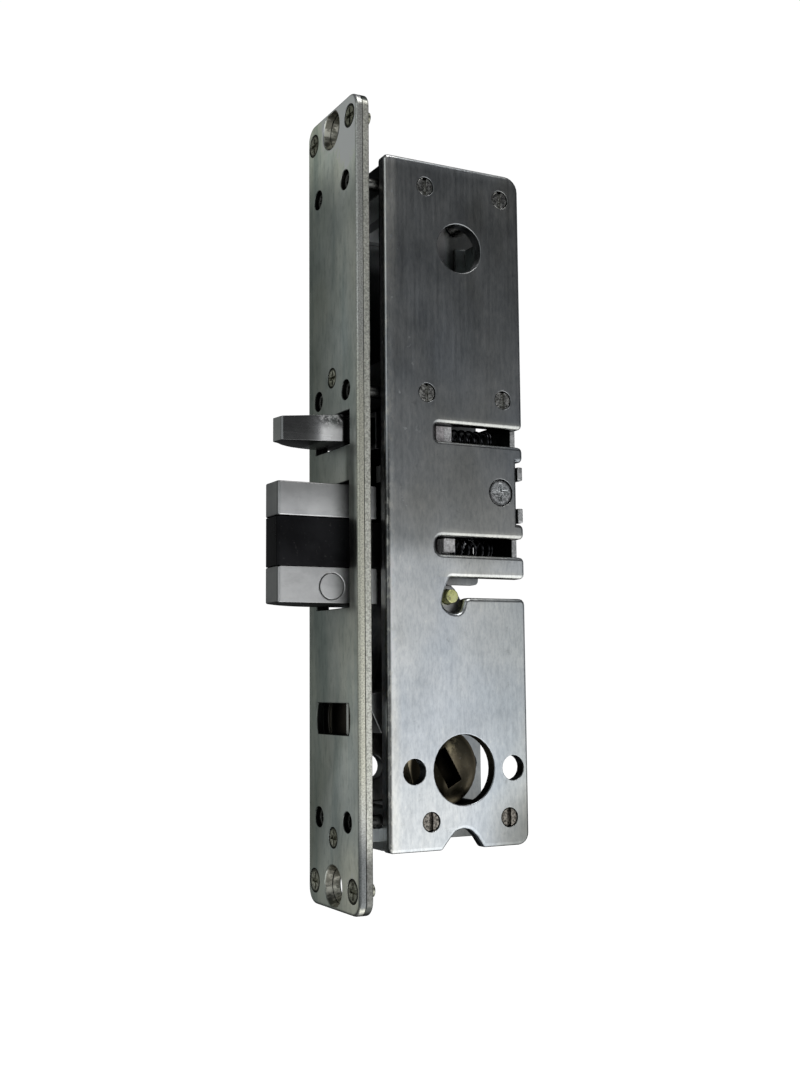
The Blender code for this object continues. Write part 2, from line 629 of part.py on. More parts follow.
def add_coil(mesh, front, rear, height, turns):
    """A closed round-wire helix about an axis along X at this height."""
    steps, sides = 9, 4
    count = turns * steps
    rings = []
    for i in range(count + 1):
        turn = 2 * math.pi * i / steps
        along = front + SPRING_WIRE_RADIUS + (rear - front - 2 * SPRING_WIRE_RADIUS) * i / count
        ring = []
        for k in range(sides):
            lean = 2 * math.pi * (k + 0.5) / sides
            radius = SPRING_COIL_RADIUS + SPRING_WIRE_RADIUS * math.cos(lean)
            shift = SPRING_WIRE_RADIUS * math.sin(lean)
            point = (along + shift, radius * math.cos(turn), height + radius * math.sin(turn))
            ring.append(mesh.verts.new([c * MM for c in point]))
        rings.append(ring)
    mesh.faces.new(rings[0])
    mesh.faces.new(rings[-1][::-1])
    for first, last in zip(rings, rings[1:]):
        for k in range(sides):
            j = (k + 1) % sides
            mesh.faces.new((first[j], first[k], last[k], last[j]))


def make_springs():
    bolt_coil = (add_coil, SPRING_BORE_X + 0.3, SPRING_REAR_X, BOLT_SPRING_Z, 12)
    solid("bolt_spring", "spring_steel", [bolt_coil], (), (SPRING_REAR_X, 0.0, BOLT_SPRING_Z))
    trigger_coil = (add_coil, TRIGGER_BORE_X + 0.3, SPRING_REAR_X, TRIGGER_SPRING_Z, 12)
    solid("trigger_spring", "spring_steel", [trigger_coil], (), (SPRING_REAR_X, 0.0, TRIGGER_SPRING_Z))


def band(start, end, start_radius, end_radius, count=8):
    """Outline of two circles joined by straight sides."""
    along = math.degrees(math.atan2(end[1] - start[1], end[0] - start[0]))
    tail = arc(start, start_radius, along + 90, along + 270, count)
    head = arc(end, end_radius, along - 90, along + 90, count)
    return tail + head


def make_lever():
    """The lever that draws the bolt back: a forked arm up to the link pin and a hooked arm to the front."""
    x, z = LEVER_PIVOT
    pivot = (x, 0.0, z)
    outer = LEVER_CHEEK_Y[1]
    upright = band(LEVER_PIVOT, LEVER_PIN, 4.6, LEVER_LOBE_RADIUS, 10)
    forward = [(x, z - 4.4), (x, z + 4.4), (22.0, 17.6), (9.0, 16.8), (5.6, 16.3), (5.9, 12.7), (8.3, 7.9),
               (10.4, 8.1), (14.0, 10.0), (24.0, 10.6)]
    fork = rectangle(10.0, 40.0, LEVER_FORK_Z, 45.0)
    cuts = [
        [(add_prism, fork, "Y", -LEVER_CHEEK_Y[0], LEVER_CHEEK_Y[0])],
        [(add_prism, circle(LEVER_PIVOT, LEVER_PIVOT_RADIUS + 0.1, 24), "Y", -outer - 1, outer + 1),
         (add_prism, circle(LEVER_PIN, LEVER_PIN_RADIUS + 0.1), "Y", -outer - 1, outer + 1)],
    ]
    joined = [[(add_prism, forward, "Y", -LEVER_ARM_Y, LEVER_ARM_Y)]]
    solid("retractor_lever", "lever_steel", [(add_prism, upright, "Y", -outer, outer)], cuts, pivot, joined)
    pin = [(-LEVER_PIN_Y, LEVER_PIN_RADIUS), (LEVER_PIN_Y, LEVER_PIN_RADIUS)]
    solid("lever_link_pin", "brass", [(add_turned, pin, "Y", LEVER_PIN, 20)], (), pivot)
    post = [(-CASE_FIT_Y, LEVER_PIVOT_RADIUS), (CASE_FIT_Y, LEVER_PIVOT_RADIUS)]
    solid("lever_pivot_pin", "post_nickel", [(add_turned, post, "Y", LEVER_PIVOT, 24)], (), pivot)


def make_hub():
    """The hub: a bronze disc with a domed face, a slot for a tailpiece in each side and a lobe at the front."""
    centre = (HUB_X, HUB_Z)
    near, far = HUB_DISC_Y
    rim, boss = HUB_DISC_RADIUS, HUB_BOSS_RADIUS
    disc = [(near, 2.6), (near + 0.12, 4.4), (near + 0.4, 6.0), (near + 0.85, 7.3), (near + 1.4, 8.1),
            (near + 2.1, rim), (far, rim), (far, boss), (HUB_BOSS_END_Y, boss)]
    lobe = [(22.6, 8.2), (17.2, 9.4), (13.9, 9.1), (15.8, 1.4), (17.2, -4.4), (20.6, -6.5), (21.5, 0.0)]
    turn = Matrix.Rotation(math.radians(HUB_SLOT_TURN), 2)
    width, length = HUB_SLOT
    slot = [Vector(centre) + turn @ Vector(corner)
            for corner in rectangle(-width / 2, width / 2, -length / 2, length / 2)]
    joined = [[(add_prism, lobe, "Y", -HUB_LOBE_HALF_Y, HUB_LOBE_HALF_Y)]]
    cuts = [
        [(add_prism, slot, "Y", near - 1, -HUB_WEB_HALF), (add_prism, slot, "Y", HUB_WEB_HALF, HUB_BOSS_END_Y + 1)]
    ]
    solid("hub", "hub_bronze", [(add_turned, disc, "Y", centre, 36)], cuts, (HUB_X, 0.0, HUB_Z), joined)
    low, high = RING_Y
    bore = [[(add_turned, [(low - 1, RING_RADII[0]), (high + 1, RING_RADII[0])], "Y", centre, 28)]]
    ring = [(add_turned, [(low, RING_RADII[1]), (high, RING_RADII[1])], "Y", centre, 28)]
    solid("hub_ring", "lever_steel", ring, bore, (HUB_X, 0.0, HUB_Z))


def make_dog():
    """The deadlocking dog: a bar over the bolt that tips down as the trigger is pressed in."""
    x, z = DOG_PIVOT
    pivot = (x, 0.0, z)
    bar = [(x, z - 1.6), (x, z + 1.6), (12.0, z + 1.3), (12.0, z - 2.5), (14.6, z - 2.5), (15.4, z - 1.3)]
    boss = [(-DOG_HALF_Y, 2.9), (DOG_HALF_Y, 2.9)]
    hole = [(add_prism, circle(DOG_PIVOT, DOG_PIVOT_RADIUS + 0.1, 20), "Y", -DOG_HALF_Y - 1, DOG_HALF_Y + 1)]
    joined = [[(add_turned, boss, "Y", DOG_PIVOT, 20)]]
    shape = [(add_prism, bar, "Y", -DOG_HALF_Y + 0.6, DOG_HALF_Y - 0.6)]
    solid("deadlock_dog", "lever_steel", shape, [hole], pivot, joined)
    pin = [(-CASE_FIT_Y, DOG_PIVOT_RADIUS), (CASE_FIT_Y, DOG_PIVOT_RADIUS)]
    solid("dog_pivot_pin", "post_nickel", [(add_turned, pin, "Y", DOG_PIVOT, 20)], (), pivot)


clear_scene()
make_faceplate()
make_mounting_plate()
make_faceplate_screws()
make_adjusters()
make_bracket_screws()
make_brackets()
make_side_plates()
make_posts()
make_retainer()
make_guides()
make_covers()
make_bolt()
make_trigger()
make_springs()
make_lever()
make_hub()
make_dog()
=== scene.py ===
"""Looks for the mortise lock: rolled plate edges, plated-metal materials with painted light and
shade, springs, studio and camera.
"""

import json
import math

import bmesh
import bpy
from mathutils import Matrix, Vector
from mathutils.geometry import tessellate_polygon


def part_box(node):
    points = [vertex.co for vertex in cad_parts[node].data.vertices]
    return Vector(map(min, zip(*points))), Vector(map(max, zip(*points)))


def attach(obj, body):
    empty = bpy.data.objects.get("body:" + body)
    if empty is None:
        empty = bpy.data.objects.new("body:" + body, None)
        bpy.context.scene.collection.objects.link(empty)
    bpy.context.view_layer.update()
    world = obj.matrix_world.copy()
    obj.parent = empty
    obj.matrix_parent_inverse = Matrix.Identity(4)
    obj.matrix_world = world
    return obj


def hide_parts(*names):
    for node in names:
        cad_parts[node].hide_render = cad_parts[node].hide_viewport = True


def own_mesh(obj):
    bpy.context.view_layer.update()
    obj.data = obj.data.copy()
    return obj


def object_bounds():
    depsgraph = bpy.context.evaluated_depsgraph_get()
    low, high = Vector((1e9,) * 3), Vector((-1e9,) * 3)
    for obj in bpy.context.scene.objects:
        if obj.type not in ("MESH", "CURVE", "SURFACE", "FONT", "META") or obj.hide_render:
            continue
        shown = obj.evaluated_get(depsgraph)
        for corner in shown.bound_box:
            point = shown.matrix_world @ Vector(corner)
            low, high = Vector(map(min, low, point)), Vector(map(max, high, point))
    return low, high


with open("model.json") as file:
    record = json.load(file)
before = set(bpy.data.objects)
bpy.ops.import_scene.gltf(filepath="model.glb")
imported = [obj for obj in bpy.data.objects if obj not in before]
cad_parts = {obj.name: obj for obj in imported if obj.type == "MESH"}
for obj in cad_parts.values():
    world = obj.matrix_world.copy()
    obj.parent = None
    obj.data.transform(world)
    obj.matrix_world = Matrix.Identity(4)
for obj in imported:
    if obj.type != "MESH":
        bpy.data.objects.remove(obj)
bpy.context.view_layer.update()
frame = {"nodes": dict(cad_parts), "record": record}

NODES = frame["nodes"]
MM = 0.001

# Corners and places on the CAD nodes, in millimetres
FACEPLATE_LOW, FACEPLATE_HIGH = (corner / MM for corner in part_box("faceplate"))
CASE_LOW, CASE_HIGH = (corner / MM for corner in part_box("near_side_plate"))
CASE_OUTER_Y, CASE_INNER_Y = -CASE_LOW.y, -CASE_HIGH.y
INSERT_LOW, INSERT_HIGH = (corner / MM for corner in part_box("bolt_insert"))
TRIGGER_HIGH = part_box("trigger_head")[1] / MM
COVER_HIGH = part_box("window_cover")[1] / MM
HUB_X = sum(corner.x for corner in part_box("hub_ring")) / 2 / MM
SLOT_TOPS = (74.65, 49.96, 41.1)

# Edges, in millimetres and square millimetres. A hole that narrows to under SINK_SHARE is a countersink.
CASE_ROLL = 0.8
FACEPLATE_ROLL = 0.7
MOUNTING_ROLL = 0.3
CASE_BREAK = 0.12
FACEPLATE_BREAK = 0.03
HOLE_ROLL = 0.12
LARGE_HOLE_ROLL = 0.22
LARGE_HOLE_AREA = 60.0
SINK_MARGIN = 0.02
SINK_SHARE = 0.8
WALL_START = 0.25
ROLL_STEPS = 6
EDGE_BREAK = {
    "bolt_upper_laminate": 0.35, "bolt_lower_laminate": 0.35, "bolt_insert": 0.12, "bolt_cross_pin": 0.06,
    "bolt_tail": 0.25, "trigger_head": 0.5, "trigger_tail": 0.3, "retractor_lever": 0.3,
    "lever_link_pin": 0.25, "hub": 0.35, "hub_ring": 0.2, "deadlock_dog": 0.25, "rear_retainer": 0.3,
    "bracket_upper": 0.3, "bracket_middle": 0.3, "bracket_lower": 0.3, "retainer_screw": 0.18,
    "window_cover": 0.25,
}
SMALL_EDGE_BREAK = 0.12
CROSS_PIN_SWELL = 0.1

# Where the painted shade on the cut walls of the plates changes, in millimetres, and how dark that
# painted shade is on their back edges
CASE_FRONT_EDGE = 0.47
UPPER_HOLE_X = 26.0
UPPER_HOLE_PAST = 100.0
SCREW_HOLES_PAST = (-18.0, 135.0)
SCREW_HOLE_REACH = 4.5
BACK_EDGE_DARKNESS = 0.6

# How finely the CAD meshes are read and their edges cut, in metres and radians
POINTS_PER_METRE = 1e5
LEVEL_SLACK = 2e-6
SHORTEST_EDGE = 2e-5
SAME_CENTRE = 1e-4
STRAIGHT_SINE = 0.01
SHARPEST_LEAN = 0.4
WELD_DISTANCE = 2e-6
SHARP_ANGLE = math.radians(40)
FLAT_ANGLE = math.radians(1)
BEVEL_ANGLE = math.radians(32)
BEVEL_STEPS = 3

# Springs: turns, wire and coil radius in millimetres, and the share of the length kept when squeezed
BOLT_SPRING = (18, 0.38, 2.0, 0.49)
TRIGGER_SPRING = (17, 0.34, 2.0, 0.53)
CLOSED_TURNS = 1.6  # at each end
CLOSED_PITCH = 2.1  # wire radii
COIL_STEPS = 28
WIRE_SIDES = 10

# Pieces that are modelled anew here
PLATES = ("near_side_plate", "far_side_plate", "faceplate", "mounting_plate")
SPRINGS = ("bolt_spring", "trigger_spring")

# The metal of pieces that don't look like their slot, by how their name starts
LOOK_BY_NAME = {
    "rear_retainer": "retainer_steel",
    "retainer_screw": "retainer_screw",
    "adjusting_screw": "adjuster_nickel",
    "bolt_guide": "guide_steel",
    "trigger_guide": "guide_steel",
    "bracket_upper": "bracket_steel",
    "bracket_middle": "bracket_steel",
    "bracket_lower": "bracket_steel",
    "window_cover": "cover_steel",
    "bolt_spring_cover": "cover_steel",
    "rear_strap": "strap_steel",
}

# Studio: a dark room, one large soft light low in front and dimmer ones around the object. A light is its
# direction, the cosines to that direction at which it starts and is full, and its colour.
ROOM = (0.028, 0.030, 0.033)
BACKDROP = (1.03, 1.03, 1.03)
LIGHTS = {
    "front": ((0.30, -0.65, -0.70), 0.56, 0.80, (1.20, 1.22, 1.24)),
    "left": ((-0.58, 0.76, 0.30), 0.66, 0.98, (0.34, 0.36, 0.35)),
    "edge": ((-0.80, -0.58, 0.15), 0.82, 0.96, (0.58, 0.61, 0.62)),
    "back": ((0.0, 1.0, 0.05), 0.86, 0.97, (0.40, 0.41, 0.42)),
    "right": ((0.90, 0.42, 0.05), 0.84, 0.96, (0.55, 0.56, 0.58)),
}
TOP_LIGHT_PLACE = (0.15, -0.35, 0.75)
TOP_LIGHT_TARGET = (0.02, 0.0, 0.06)
TOP_LIGHT_SIZE = 0.3
TOP_LIGHT_POWER = 1.5

# The floor's squares, half its width in metres and its distance under the lock in millimetres
FLOOR_SQUARES = 24
FLOOR_REACH = 2.5
FLOOR_GAP = 0.2

# The photograph's camera: its place in metres, its turns in degrees, its lens and sensor in millimetres
CAMERA_PLACE = (-0.12024, -0.26129, 0.0188)
CAMERA_TURNS = (27.632, 6.284, -0.470)
CAMERA_LENS = 45.12
CAMERA_SENSOR = 36.0

# The metals' grain: how many noise cells there are in a metre, across and along the brushing
GRAIN_ACROSS = 1400.0
GRAIN_ALONG = 60.0
MOTTLE_CELLS = 95.0
PIT_CELLS = 1500.0
TARNISH_CELLS = 42.0
SPECK_COLOUR = (0.85, 0.84, 0.78)
BLUE_TARNISH = (0.50, 0.60, 0.74)
YELLOW_TARNISH = (0.68, 0.62, 0.44)
GRAZING_TINT = (0.45, 0.45, 0.45, 1.0)
DULL_METAL = 0.25
BUMP_HEIGHT = 0.00006


# ---------------------------------------------------------------- node helpers

def new_material(name):
    mat = bpy.data.materials.new(name)
    mat.use_nodes = True
    tree = mat.node_tree
    return mat, tree, tree.nodes["Principled BSDF"]


def link(tree, source, target):
    tree.links.new(source, target)


def math_node(tree, operation, *values, clamp=False):
    node = tree.nodes.new("ShaderNodeMath")
    node.operation = operation
    node.use_clamp = clamp
    for socket, value in zip(node.inputs, values):
        if isinstance(value, (int, float)):
            socket.default_value = value
        else:
            link(tree, value, socket)
    return node.outputs[0]


def overlap(tree, first, *others):
    """The product of masks and numbers."""
    for other in others:
        first = math_node(tree, "MULTIPLY", first, other)
    return first


def either(tree, a, b):
    return math_node(tree, "MAXIMUM", a, b)


def outside_of(tree, mask):
    return math_node(tree, "SUBTRACT", 1.0, mask)


def size_only(tree, value):
    return math_node(tree, "ABSOLUTE", value)


def mix_colour(tree, factor, a, b, blend="MIX"):
    node = tree.nodes.new("ShaderNodeMix")
    node.data_type = "RGBA"
    node.blend_type = blend
    for socket, value in ((node.inputs[0], factor), (node.inputs[6], a), (node.inputs[7], b)):
        if isinstance(value, (int, float)):
            socket.default_value = value
        elif isinstance(value, tuple):
            socket.default_value = (*value, 1.0)
        else:
            link(tree, value, socket)
    return node.outputs[2]


def times(tree, colour, factor):
    """The colour times a number or another colour. A factor over 1 lightens."""
    if isinstance(factor, (int, float)):
        factor = (factor,) * 3
    return mix_colour(tree, 1.0, colour, factor, "MULTIPLY")


def scaled(tree, mask, colour, factor):
    """The colour times the factor where the mask is 1."""
    return mix_colour(tree, mask, colour, times(tree, colour, factor))


def ramp(tree, source, low, high, smooth=True):
    """0 at low, 1 at high."""
    node = tree.nodes.new("ShaderNodeMapRange")
    node.interpolation_type = "SMOOTHSTEP" if smooth else "LINEAR"
    node.inputs["From Min"].default_value = low
    node.inputs["From Max"].default_value = high
    link(tree, source, node.inputs["Value"])
    return node.outputs["Result"]


def between(tree, source, start, full, still_full, end):
    """0 before start, 1 from full to still_full, 0 past end."""
    return overlap(tree, ramp(tree, source, start, full), ramp(tree, source, end, still_full))


def object_point(tree, scale=(1.0, 1.0, 1.0)):
    coords = tree.nodes.new("ShaderNodeTexCoord")
    mapping = tree.nodes.new("ShaderNodeMapping")
    mapping.inputs["Scale"].default_value = scale
    link(tree, coords.outputs["Object"], mapping.inputs["Vector"])
    return mapping.outputs["Vector"]


def separated(tree, vector):
    split = tree.nodes.new("ShaderNodeSeparateXYZ")
    link(tree, vector, split.inputs[0])
    return split.outputs


def position(tree):
    """The point's place on the object, in millimetres."""
    return separated(tree, object_point(tree, (1 / MM,) * 3))


def bounding_point(tree):
    """The point as shares of the piece's own bounding box."""
    return separated(tree, tree.nodes.new("ShaderNodeTexCoord").outputs["Generated"])


def normal_of(tree):
    return separated(tree, tree.nodes.new("ShaderNodeTexCoord").outputs["Normal"])


def distance(tree, a, a0, b, b0):
    """How far the point lies from (a0, b0)."""
    across = math_node(tree, "SUBTRACT", a, a0)
    along = math_node(tree, "SUBTRACT", b, b0)
    squares = math_node(tree, "ADD", overlap(tree, across, across), overlap(tree, along, along))
    return math_node(tree, "SQRT", squares)


def noise(tree, vector, cells, detail=3.0, roughness=0.55):
    node = tree.nodes.new("ShaderNodeTexNoise")
    node.inputs["Scale"].default_value = cells
    node.inputs["Detail"].default_value = detail
    node.inputs["Roughness"].default_value = roughness
    link(tree, vector, node.inputs["Vector"])
    return node.outputs["Fac"]


def patches(tree, cells, low, high, stretch=(1.0, 1.0, 1.0), detail=4.0, roughness=0.7):
    """Irregular patches, 1 inside them. There are this many noise cells in a metre."""
    return ramp(tree, noise(tree, object_point(tree, stretch), cells, detail, roughness), low, high)


def add_bump(tree, shader, height, strength):
    bump = tree.nodes.new("ShaderNodeBump")
    bump.inputs["Strength"].default_value = strength
    bump.inputs["Distance"].default_value = BUMP_HEIGHT
    link(tree, height, bump.inputs["Height"])
    link(tree, bump.outputs["Normal"], shader.inputs["Normal"])


# ---------------------------------------------------------------- metals

def plated(name, dark, light, rough, grain_axis="Z", grain=0.3, speck=0.3, tint=0.0, metallic=1.0,
           bump=0.22, shade=None, dull=None):
    """A plated or ground metal: brushed grain along one axis, mottling, fine pits and worn specks."""
    mat, tree, shader = new_material(name)
    shader.inputs["Metallic"].default_value = metallic
    shader.inputs["Specular Tint"].default_value = GRAZING_TINT
    stretch = [GRAIN_ALONG if axis == grain_axis else GRAIN_ACROSS for axis in "XYZ"]
    lines = noise(tree, object_point(tree, stretch), 1.0, 2.0)
    mottle = noise(tree, object_point(tree), MOTTLE_CELLS, 4.0, 0.6)
    pits = noise(tree, object_point(tree), PIT_CELLS, 3.0, 0.6)
    colour = mix_colour(tree, ramp(tree, mottle, 0.32, 0.68), dark, light)
    if tint:
        hue = noise(tree, object_point(tree, (1.0, 1.0, 0.6)), TARNISH_CELLS, 2.0)
        blue = overlap(tree, ramp(tree, hue, 0.5, 0.66), tint)
        colour = mix_colour(tree, blue, colour, BLUE_TARNISH)
        yellow = overlap(tree, ramp(tree, hue, 0.5, 0.36), tint * 0.8)
        colour = mix_colour(tree, yellow, colour, YELLOW_TARNISH)
    colour = mix_colour(tree, overlap(tree, ramp(tree, pits, 0.62, 0.72), speck), colour, SPECK_COLOUR)
    if shade:
        colour = shade(tree, colour)
    link(tree, colour, shader.inputs["Base Color"])
    if dull:
        polish = math_node(tree, "MULTIPLY_ADD", dull(tree), DULL_METAL - 1.0, 1.0)
        link(tree, polish, shader.inputs["Metallic"])
    brushed = math_node(tree, "MULTIPLY_ADD", lines, grain * 0.35, rough - grain * 0.17)
    uneven = math_node(tree, "MULTIPLY_ADD", mottle, 0.12, -0.06)
    link(tree, math_node(tree, "ADD", brushed, uneven, clamp=True), shader.inputs["Roughness"])
    height = math_node(tree, "ADD", overlap(tree, lines, grain), overlap(tree, pits, 0.5))
    add_bump(tree, shader, height, bump)
    return mat


def cut_walls(tree, colour):
    """Painted shade: the sheared walls of holes and slots are painted nearly black. The countersinks are
    turned bright, partly as the turned metal's own colour and partly as a painted highlight.
    """
    cut = tree.nodes.new("ShaderNodeAttribute")
    cut.attribute_name = "painted_wall_light"
    colour = scaled(tree, ramp(tree, cut.outputs["Fac"], 0.0, 1.0, False), colour, 0.10)
    turned = patches(tree, 520.0, 0.42, 0.60, (0.4, 1.0, 1.0), 3.0, 0.6)
    bright = mix_colour(tree, turned, (0.30, 0.29, 0.24), (1.0, 0.97, 0.84))
    return mix_colour(tree, ramp(tree, cut.outputs["Fac"], 0.0, -1.0, False), colour, bright)


# ---------------------------------------------------------------- painted light and shade, and marks, on each metal

def case_shade(tree, colour):
    """The case's plates: painted shade that darkens them upwards, painted highlights over the slots and on
    the edges, wear outside and painted shade inside.
    """
    place = position(tree)
    away = size_only(tree, place[1])
    outside = ramp(tree, away, CASE_OUTER_Y - 1.1, CASE_OUTER_Y - 0.3)
    inside = ramp(tree, away, CASE_INNER_Y + 0.7, CASE_INNER_Y + 0.3)
    colour = painted_height_shade(tree, colour, place[2])
    colour = case_edges(tree, colour, place, outside)
    colour = case_wear_and_darkening(tree, colour, place)
    colour = case_inside(tree, colour, place, inside)
    return cut_walls(tree, colour)


def painted_height_shade(tree, colour, z):
    """Painted shade: the plates are painted darker upwards in three steps."""
    for low, high, factor in ((43.2, 50.5, 0.58), (50.5, 63.0, 0.86), (60.0, 125.0, 0.92)):
        colour = scaled(tree, ramp(tree, z, low, high), colour, factor)
    return colour


def case_edges(tree, colour, place, outside):
    """Painted highlights on the rims over the slots, along the front edge and along the top edge, painted
    shade on the front edge below, and pale scuffs near the front.
    """
    x, _, z = place
    front = CASE_LOW.x
    # Painted highlight on the rim over each slot.
    for top in SLOT_TOPS:
        rim_highlight = overlap(tree, between(tree, z, top - 0.1, top + 0.1, top, top + 1.9),
                      ramp(tree, x, 18.5, 24.0), outside, 0.62)
        colour = mix_colour(tree, rim_highlight, colour, (1.0, 0.99, 0.90))
    # Painted highlight along the front edge, with more of it near its ends.
    near_front = ramp(tree, x, front + 2.67, front + 0.17)
    colour = scaled(tree, overlap(tree, near_front, outside), colour, 1.35)
    ends = either(tree, ramp(tree, z, 92.0, 116.0), ramp(tree, z, 30.0, 12.0))
    front_end_highlight = overlap(tree, ramp(tree, x, front + 3.67, front + 1.27), outside, ends, 0.75)
    colour = mix_colour(tree, front_end_highlight, colour, (1.0, 0.99, 0.93))
    # Painted shade on the front edge below the middle.
    low_front_shade = overlap(tree, ramp(tree, x, front + 1.07, front + 0.67), ramp(tree, z, 76.0, 56.0), outside)
    colour = scaled(tree, low_front_shade, colour, 0.26)
    # Painted highlight along the top edge.
    top = CASE_HIGH.z
    colour = scaled(tree, overlap(tree, ramp(tree, z, top - 2.68, top - 0.28), outside), colour, 1.6)
    scuffs = patches(tree, 900.0, 0.50, 0.62, (1.0, 1.0, 0.5))
    return mix_colour(tree, overlap(tree, scuffs, near_front, 0.55), colour, (0.86, 0.84, 0.76))


def case_wear_and_darkening(tree, colour, place):
    """Pale pocks near the front, a dark lower rear corner, stains, blots and grain."""
    x, _, z = place
    pocks = patches(tree, 420.0, 0.66, 0.72, detail=3.0, roughness=0.6)
    pocked = overlap(tree, pocks, ramp(tree, x, 19.0, 8.0), ramp(tree, z, 20.0, 60.0), 0.7)
    colour = mix_colour(tree, pocked, colour, (0.95, 0.97, 0.97))
    # Darker towards the lower rear corner and over the lower rear.
    corner = ramp(tree, distance(tree, x, CASE_HIGH.x + 1.22, z, CASE_LOW.z - 1.38), 17.0, 5.0)
    colour = scaled(tree, corner, colour, (0.50, 0.49, 0.47))
    lower_rear = overlap(tree, ramp(tree, x, 22.0, 42.0), ramp(tree, z, 44.0, 38.0))
    colour = scaled(tree, lower_rear, colour, (0.80, 0.81, 0.80))
    stains = patches(tree, 260.0, 0.60, 0.72, detail=5.0)
    colour = scaled(tree, overlap(tree, stains, 0.28), colour, (0.25, 0.25, 0.24))
    blots = patches(tree, 55.0, 0.48, 0.70, (1.0, 1.0, 0.7))
    colour = scaled(tree, overlap(tree, blots, 0.30), colour, (0.60, 0.60, 0.60))
    grain = noise(tree, object_point(tree, (1.0, 1.0, 0.35)), 1300.0, 3.0, 0.7)
    colour = scaled(tree, ramp(tree, grain, 0.40, 0.66), colour, (0.84, 0.85, 0.86))
    return scaled(tree, ramp(tree, grain, 0.40, 0.28), colour, (1.14, 1.12, 1.08))


def case_inside(tree, colour, place, inside):
    """The inner faces: painted shade above, and painted light where the upper hole and the trigger's slot
    show the far plate's.
    """
    x, y, z = place
    # Painted light on the far plate's inner face where the upper hole and the trigger's slot show it.
    past_hole = overlap(tree, ramp(tree, x, 35.5, 33.0), ramp(tree, z, 112.0, 116.0))
    past_slot = overlap(tree, between(tree, z, 74.0, 75.5, 79.5, 81.0), ramp(tree, x, 33.0, 35.0))
    painted_light = overlap(tree, inside, either(tree, past_hole, past_slot), ramp(tree, y, 0.0, 1.0))
    colour = scaled(tree, painted_light, colour, 6.0)
    # Painted shade on the inner faces above, but not behind the upper hole.
    behind_hole = overlap(tree, ramp(tree, z, 98.0, 104.0), ramp(tree, x, 24.0, 28.0))
    inside_shade = overlap(tree, inside, ramp(tree, z, 41.0, 44.0), outside_of(tree, behind_hole))
    return scaled(tree, inside_shade, colour, 0.16)


def faceplate_shade(tree, colour):
    """The faceplate: painted shade towards its far side, painted light towards its near side, lower part and
    ends, streaked and mottled, a painted shadow beside the bolts, and pale worn long edges with a painted
    highlight.
    """
    _, y, z = position(tree)
    # Painted shade towards the far side, and painted light towards the near side and the lower part.
    colour = scaled(tree, ramp(tree, y, -4.0, 11.0), colour, (0.66, 0.68, 0.66))
    colour = scaled(tree, ramp(tree, y, 0.0, -9.0), colour, (1.36, 1.34, 1.32))
    colour = scaled(tree, ramp(tree, z, 40.0, 15.0), colour, (1.26, 1.25, 1.23))
    streaks = patches(tree, 210.0, 0.44, 0.66, (1.0, 1.0, 0.10), 3.0, 0.6)
    colour = scaled(tree, overlap(tree, streaks, 0.6), colour, (0.68, 0.74, 0.76))
    blots = patches(tree, 60.0, 0.42, 0.66, (1.0, 1.0, 0.4))
    colour = scaled(tree, overlap(tree, blots, 0.5), colour, (1.35, 1.33, 1.28))
    grain = patches(tree, 1000.0, 0.48, 0.64, (1.0, 1.0, 0.3))
    colour = scaled(tree, overlap(tree, grain, 0.8), colour, (0.80, 0.81, 0.81))
    top, bottom = FACEPLATE_HIGH.z, FACEPLATE_LOW.z
    # Painted light towards the top and towards the bottom end.
    colour = scaled(tree, ramp(tree, z, top - 23.86, top - 2.86), colour, (2.9, 2.8, 2.6))
    colour = scaled(tree, ramp(tree, z, bottom + 16.74, bottom + 4.74), colour, (1.40, 1.36, 1.30))
    beside_bolts = between(tree, y, -11.9, -10.4, -8.0, -6.0)
    shadow = overlap(tree, beside_bolts, between(tree, z, 32.5, 36.0, 62.0, 79.0))
    colour = scaled(tree, shadow, colour, 0.40)
    edge = ramp(tree, size_only(tree, y), FACEPLATE_HIGH.y - 0.7, FACEPLATE_HIGH.y - 0.2)
    return cut_walls(tree, mix_colour(tree, edge, colour, worn_edge_sheen(tree, z)))


def worn_edge_sheen(tree, z):
    """The faceplate's edge: worn and gritty, with a painted highlight that is yellower along the middle
    and darker at the bottom.
    """
    # Painted highlight on the edge, gritty where it is worn.
    middle = between(tree, z, -14.0, 2.0, 72.0, 98.0)
    grit = patches(tree, 3000.0, 0.34, 0.66)
    worn_sheen = mix_colour(tree, middle, (0.92, 0.93, 0.88), (1.0, 0.99, 0.84))
    worn_sheen = scaled(tree, overlap(tree, grit, 0.7), worn_sheen, (0.45, 0.45, 0.43))
    return scaled(tree, ramp(tree, z, -8.0, -18.0), worn_sheen, (0.34, 0.35, 0.37))


def mounting_plate_shade(tree, colour):
    """The mounting plate: dark, with coarsely speckled pale long edges that are dull at the bottom."""
    _, y, z = position(tree)
    edge = ramp(tree, size_only(tree, y), FACEPLATE_HIGH.y - 0.35, FACEPLATE_HIGH.y - 0.08)
    grit = patches(tree, 2100.0, 0.36, 0.62, roughness=0.75)
    bright = mix_colour(tree, grit, (0.58, 0.58, 0.51), (1.0, 1.0, 0.90))
    bright = scaled(tree, ramp(tree, z, -13.0, -19.0), bright, (0.34, 0.34, 0.35))
    return cut_walls(tree, mix_colour(tree, edge, times(tree, colour, 0.35), bright))


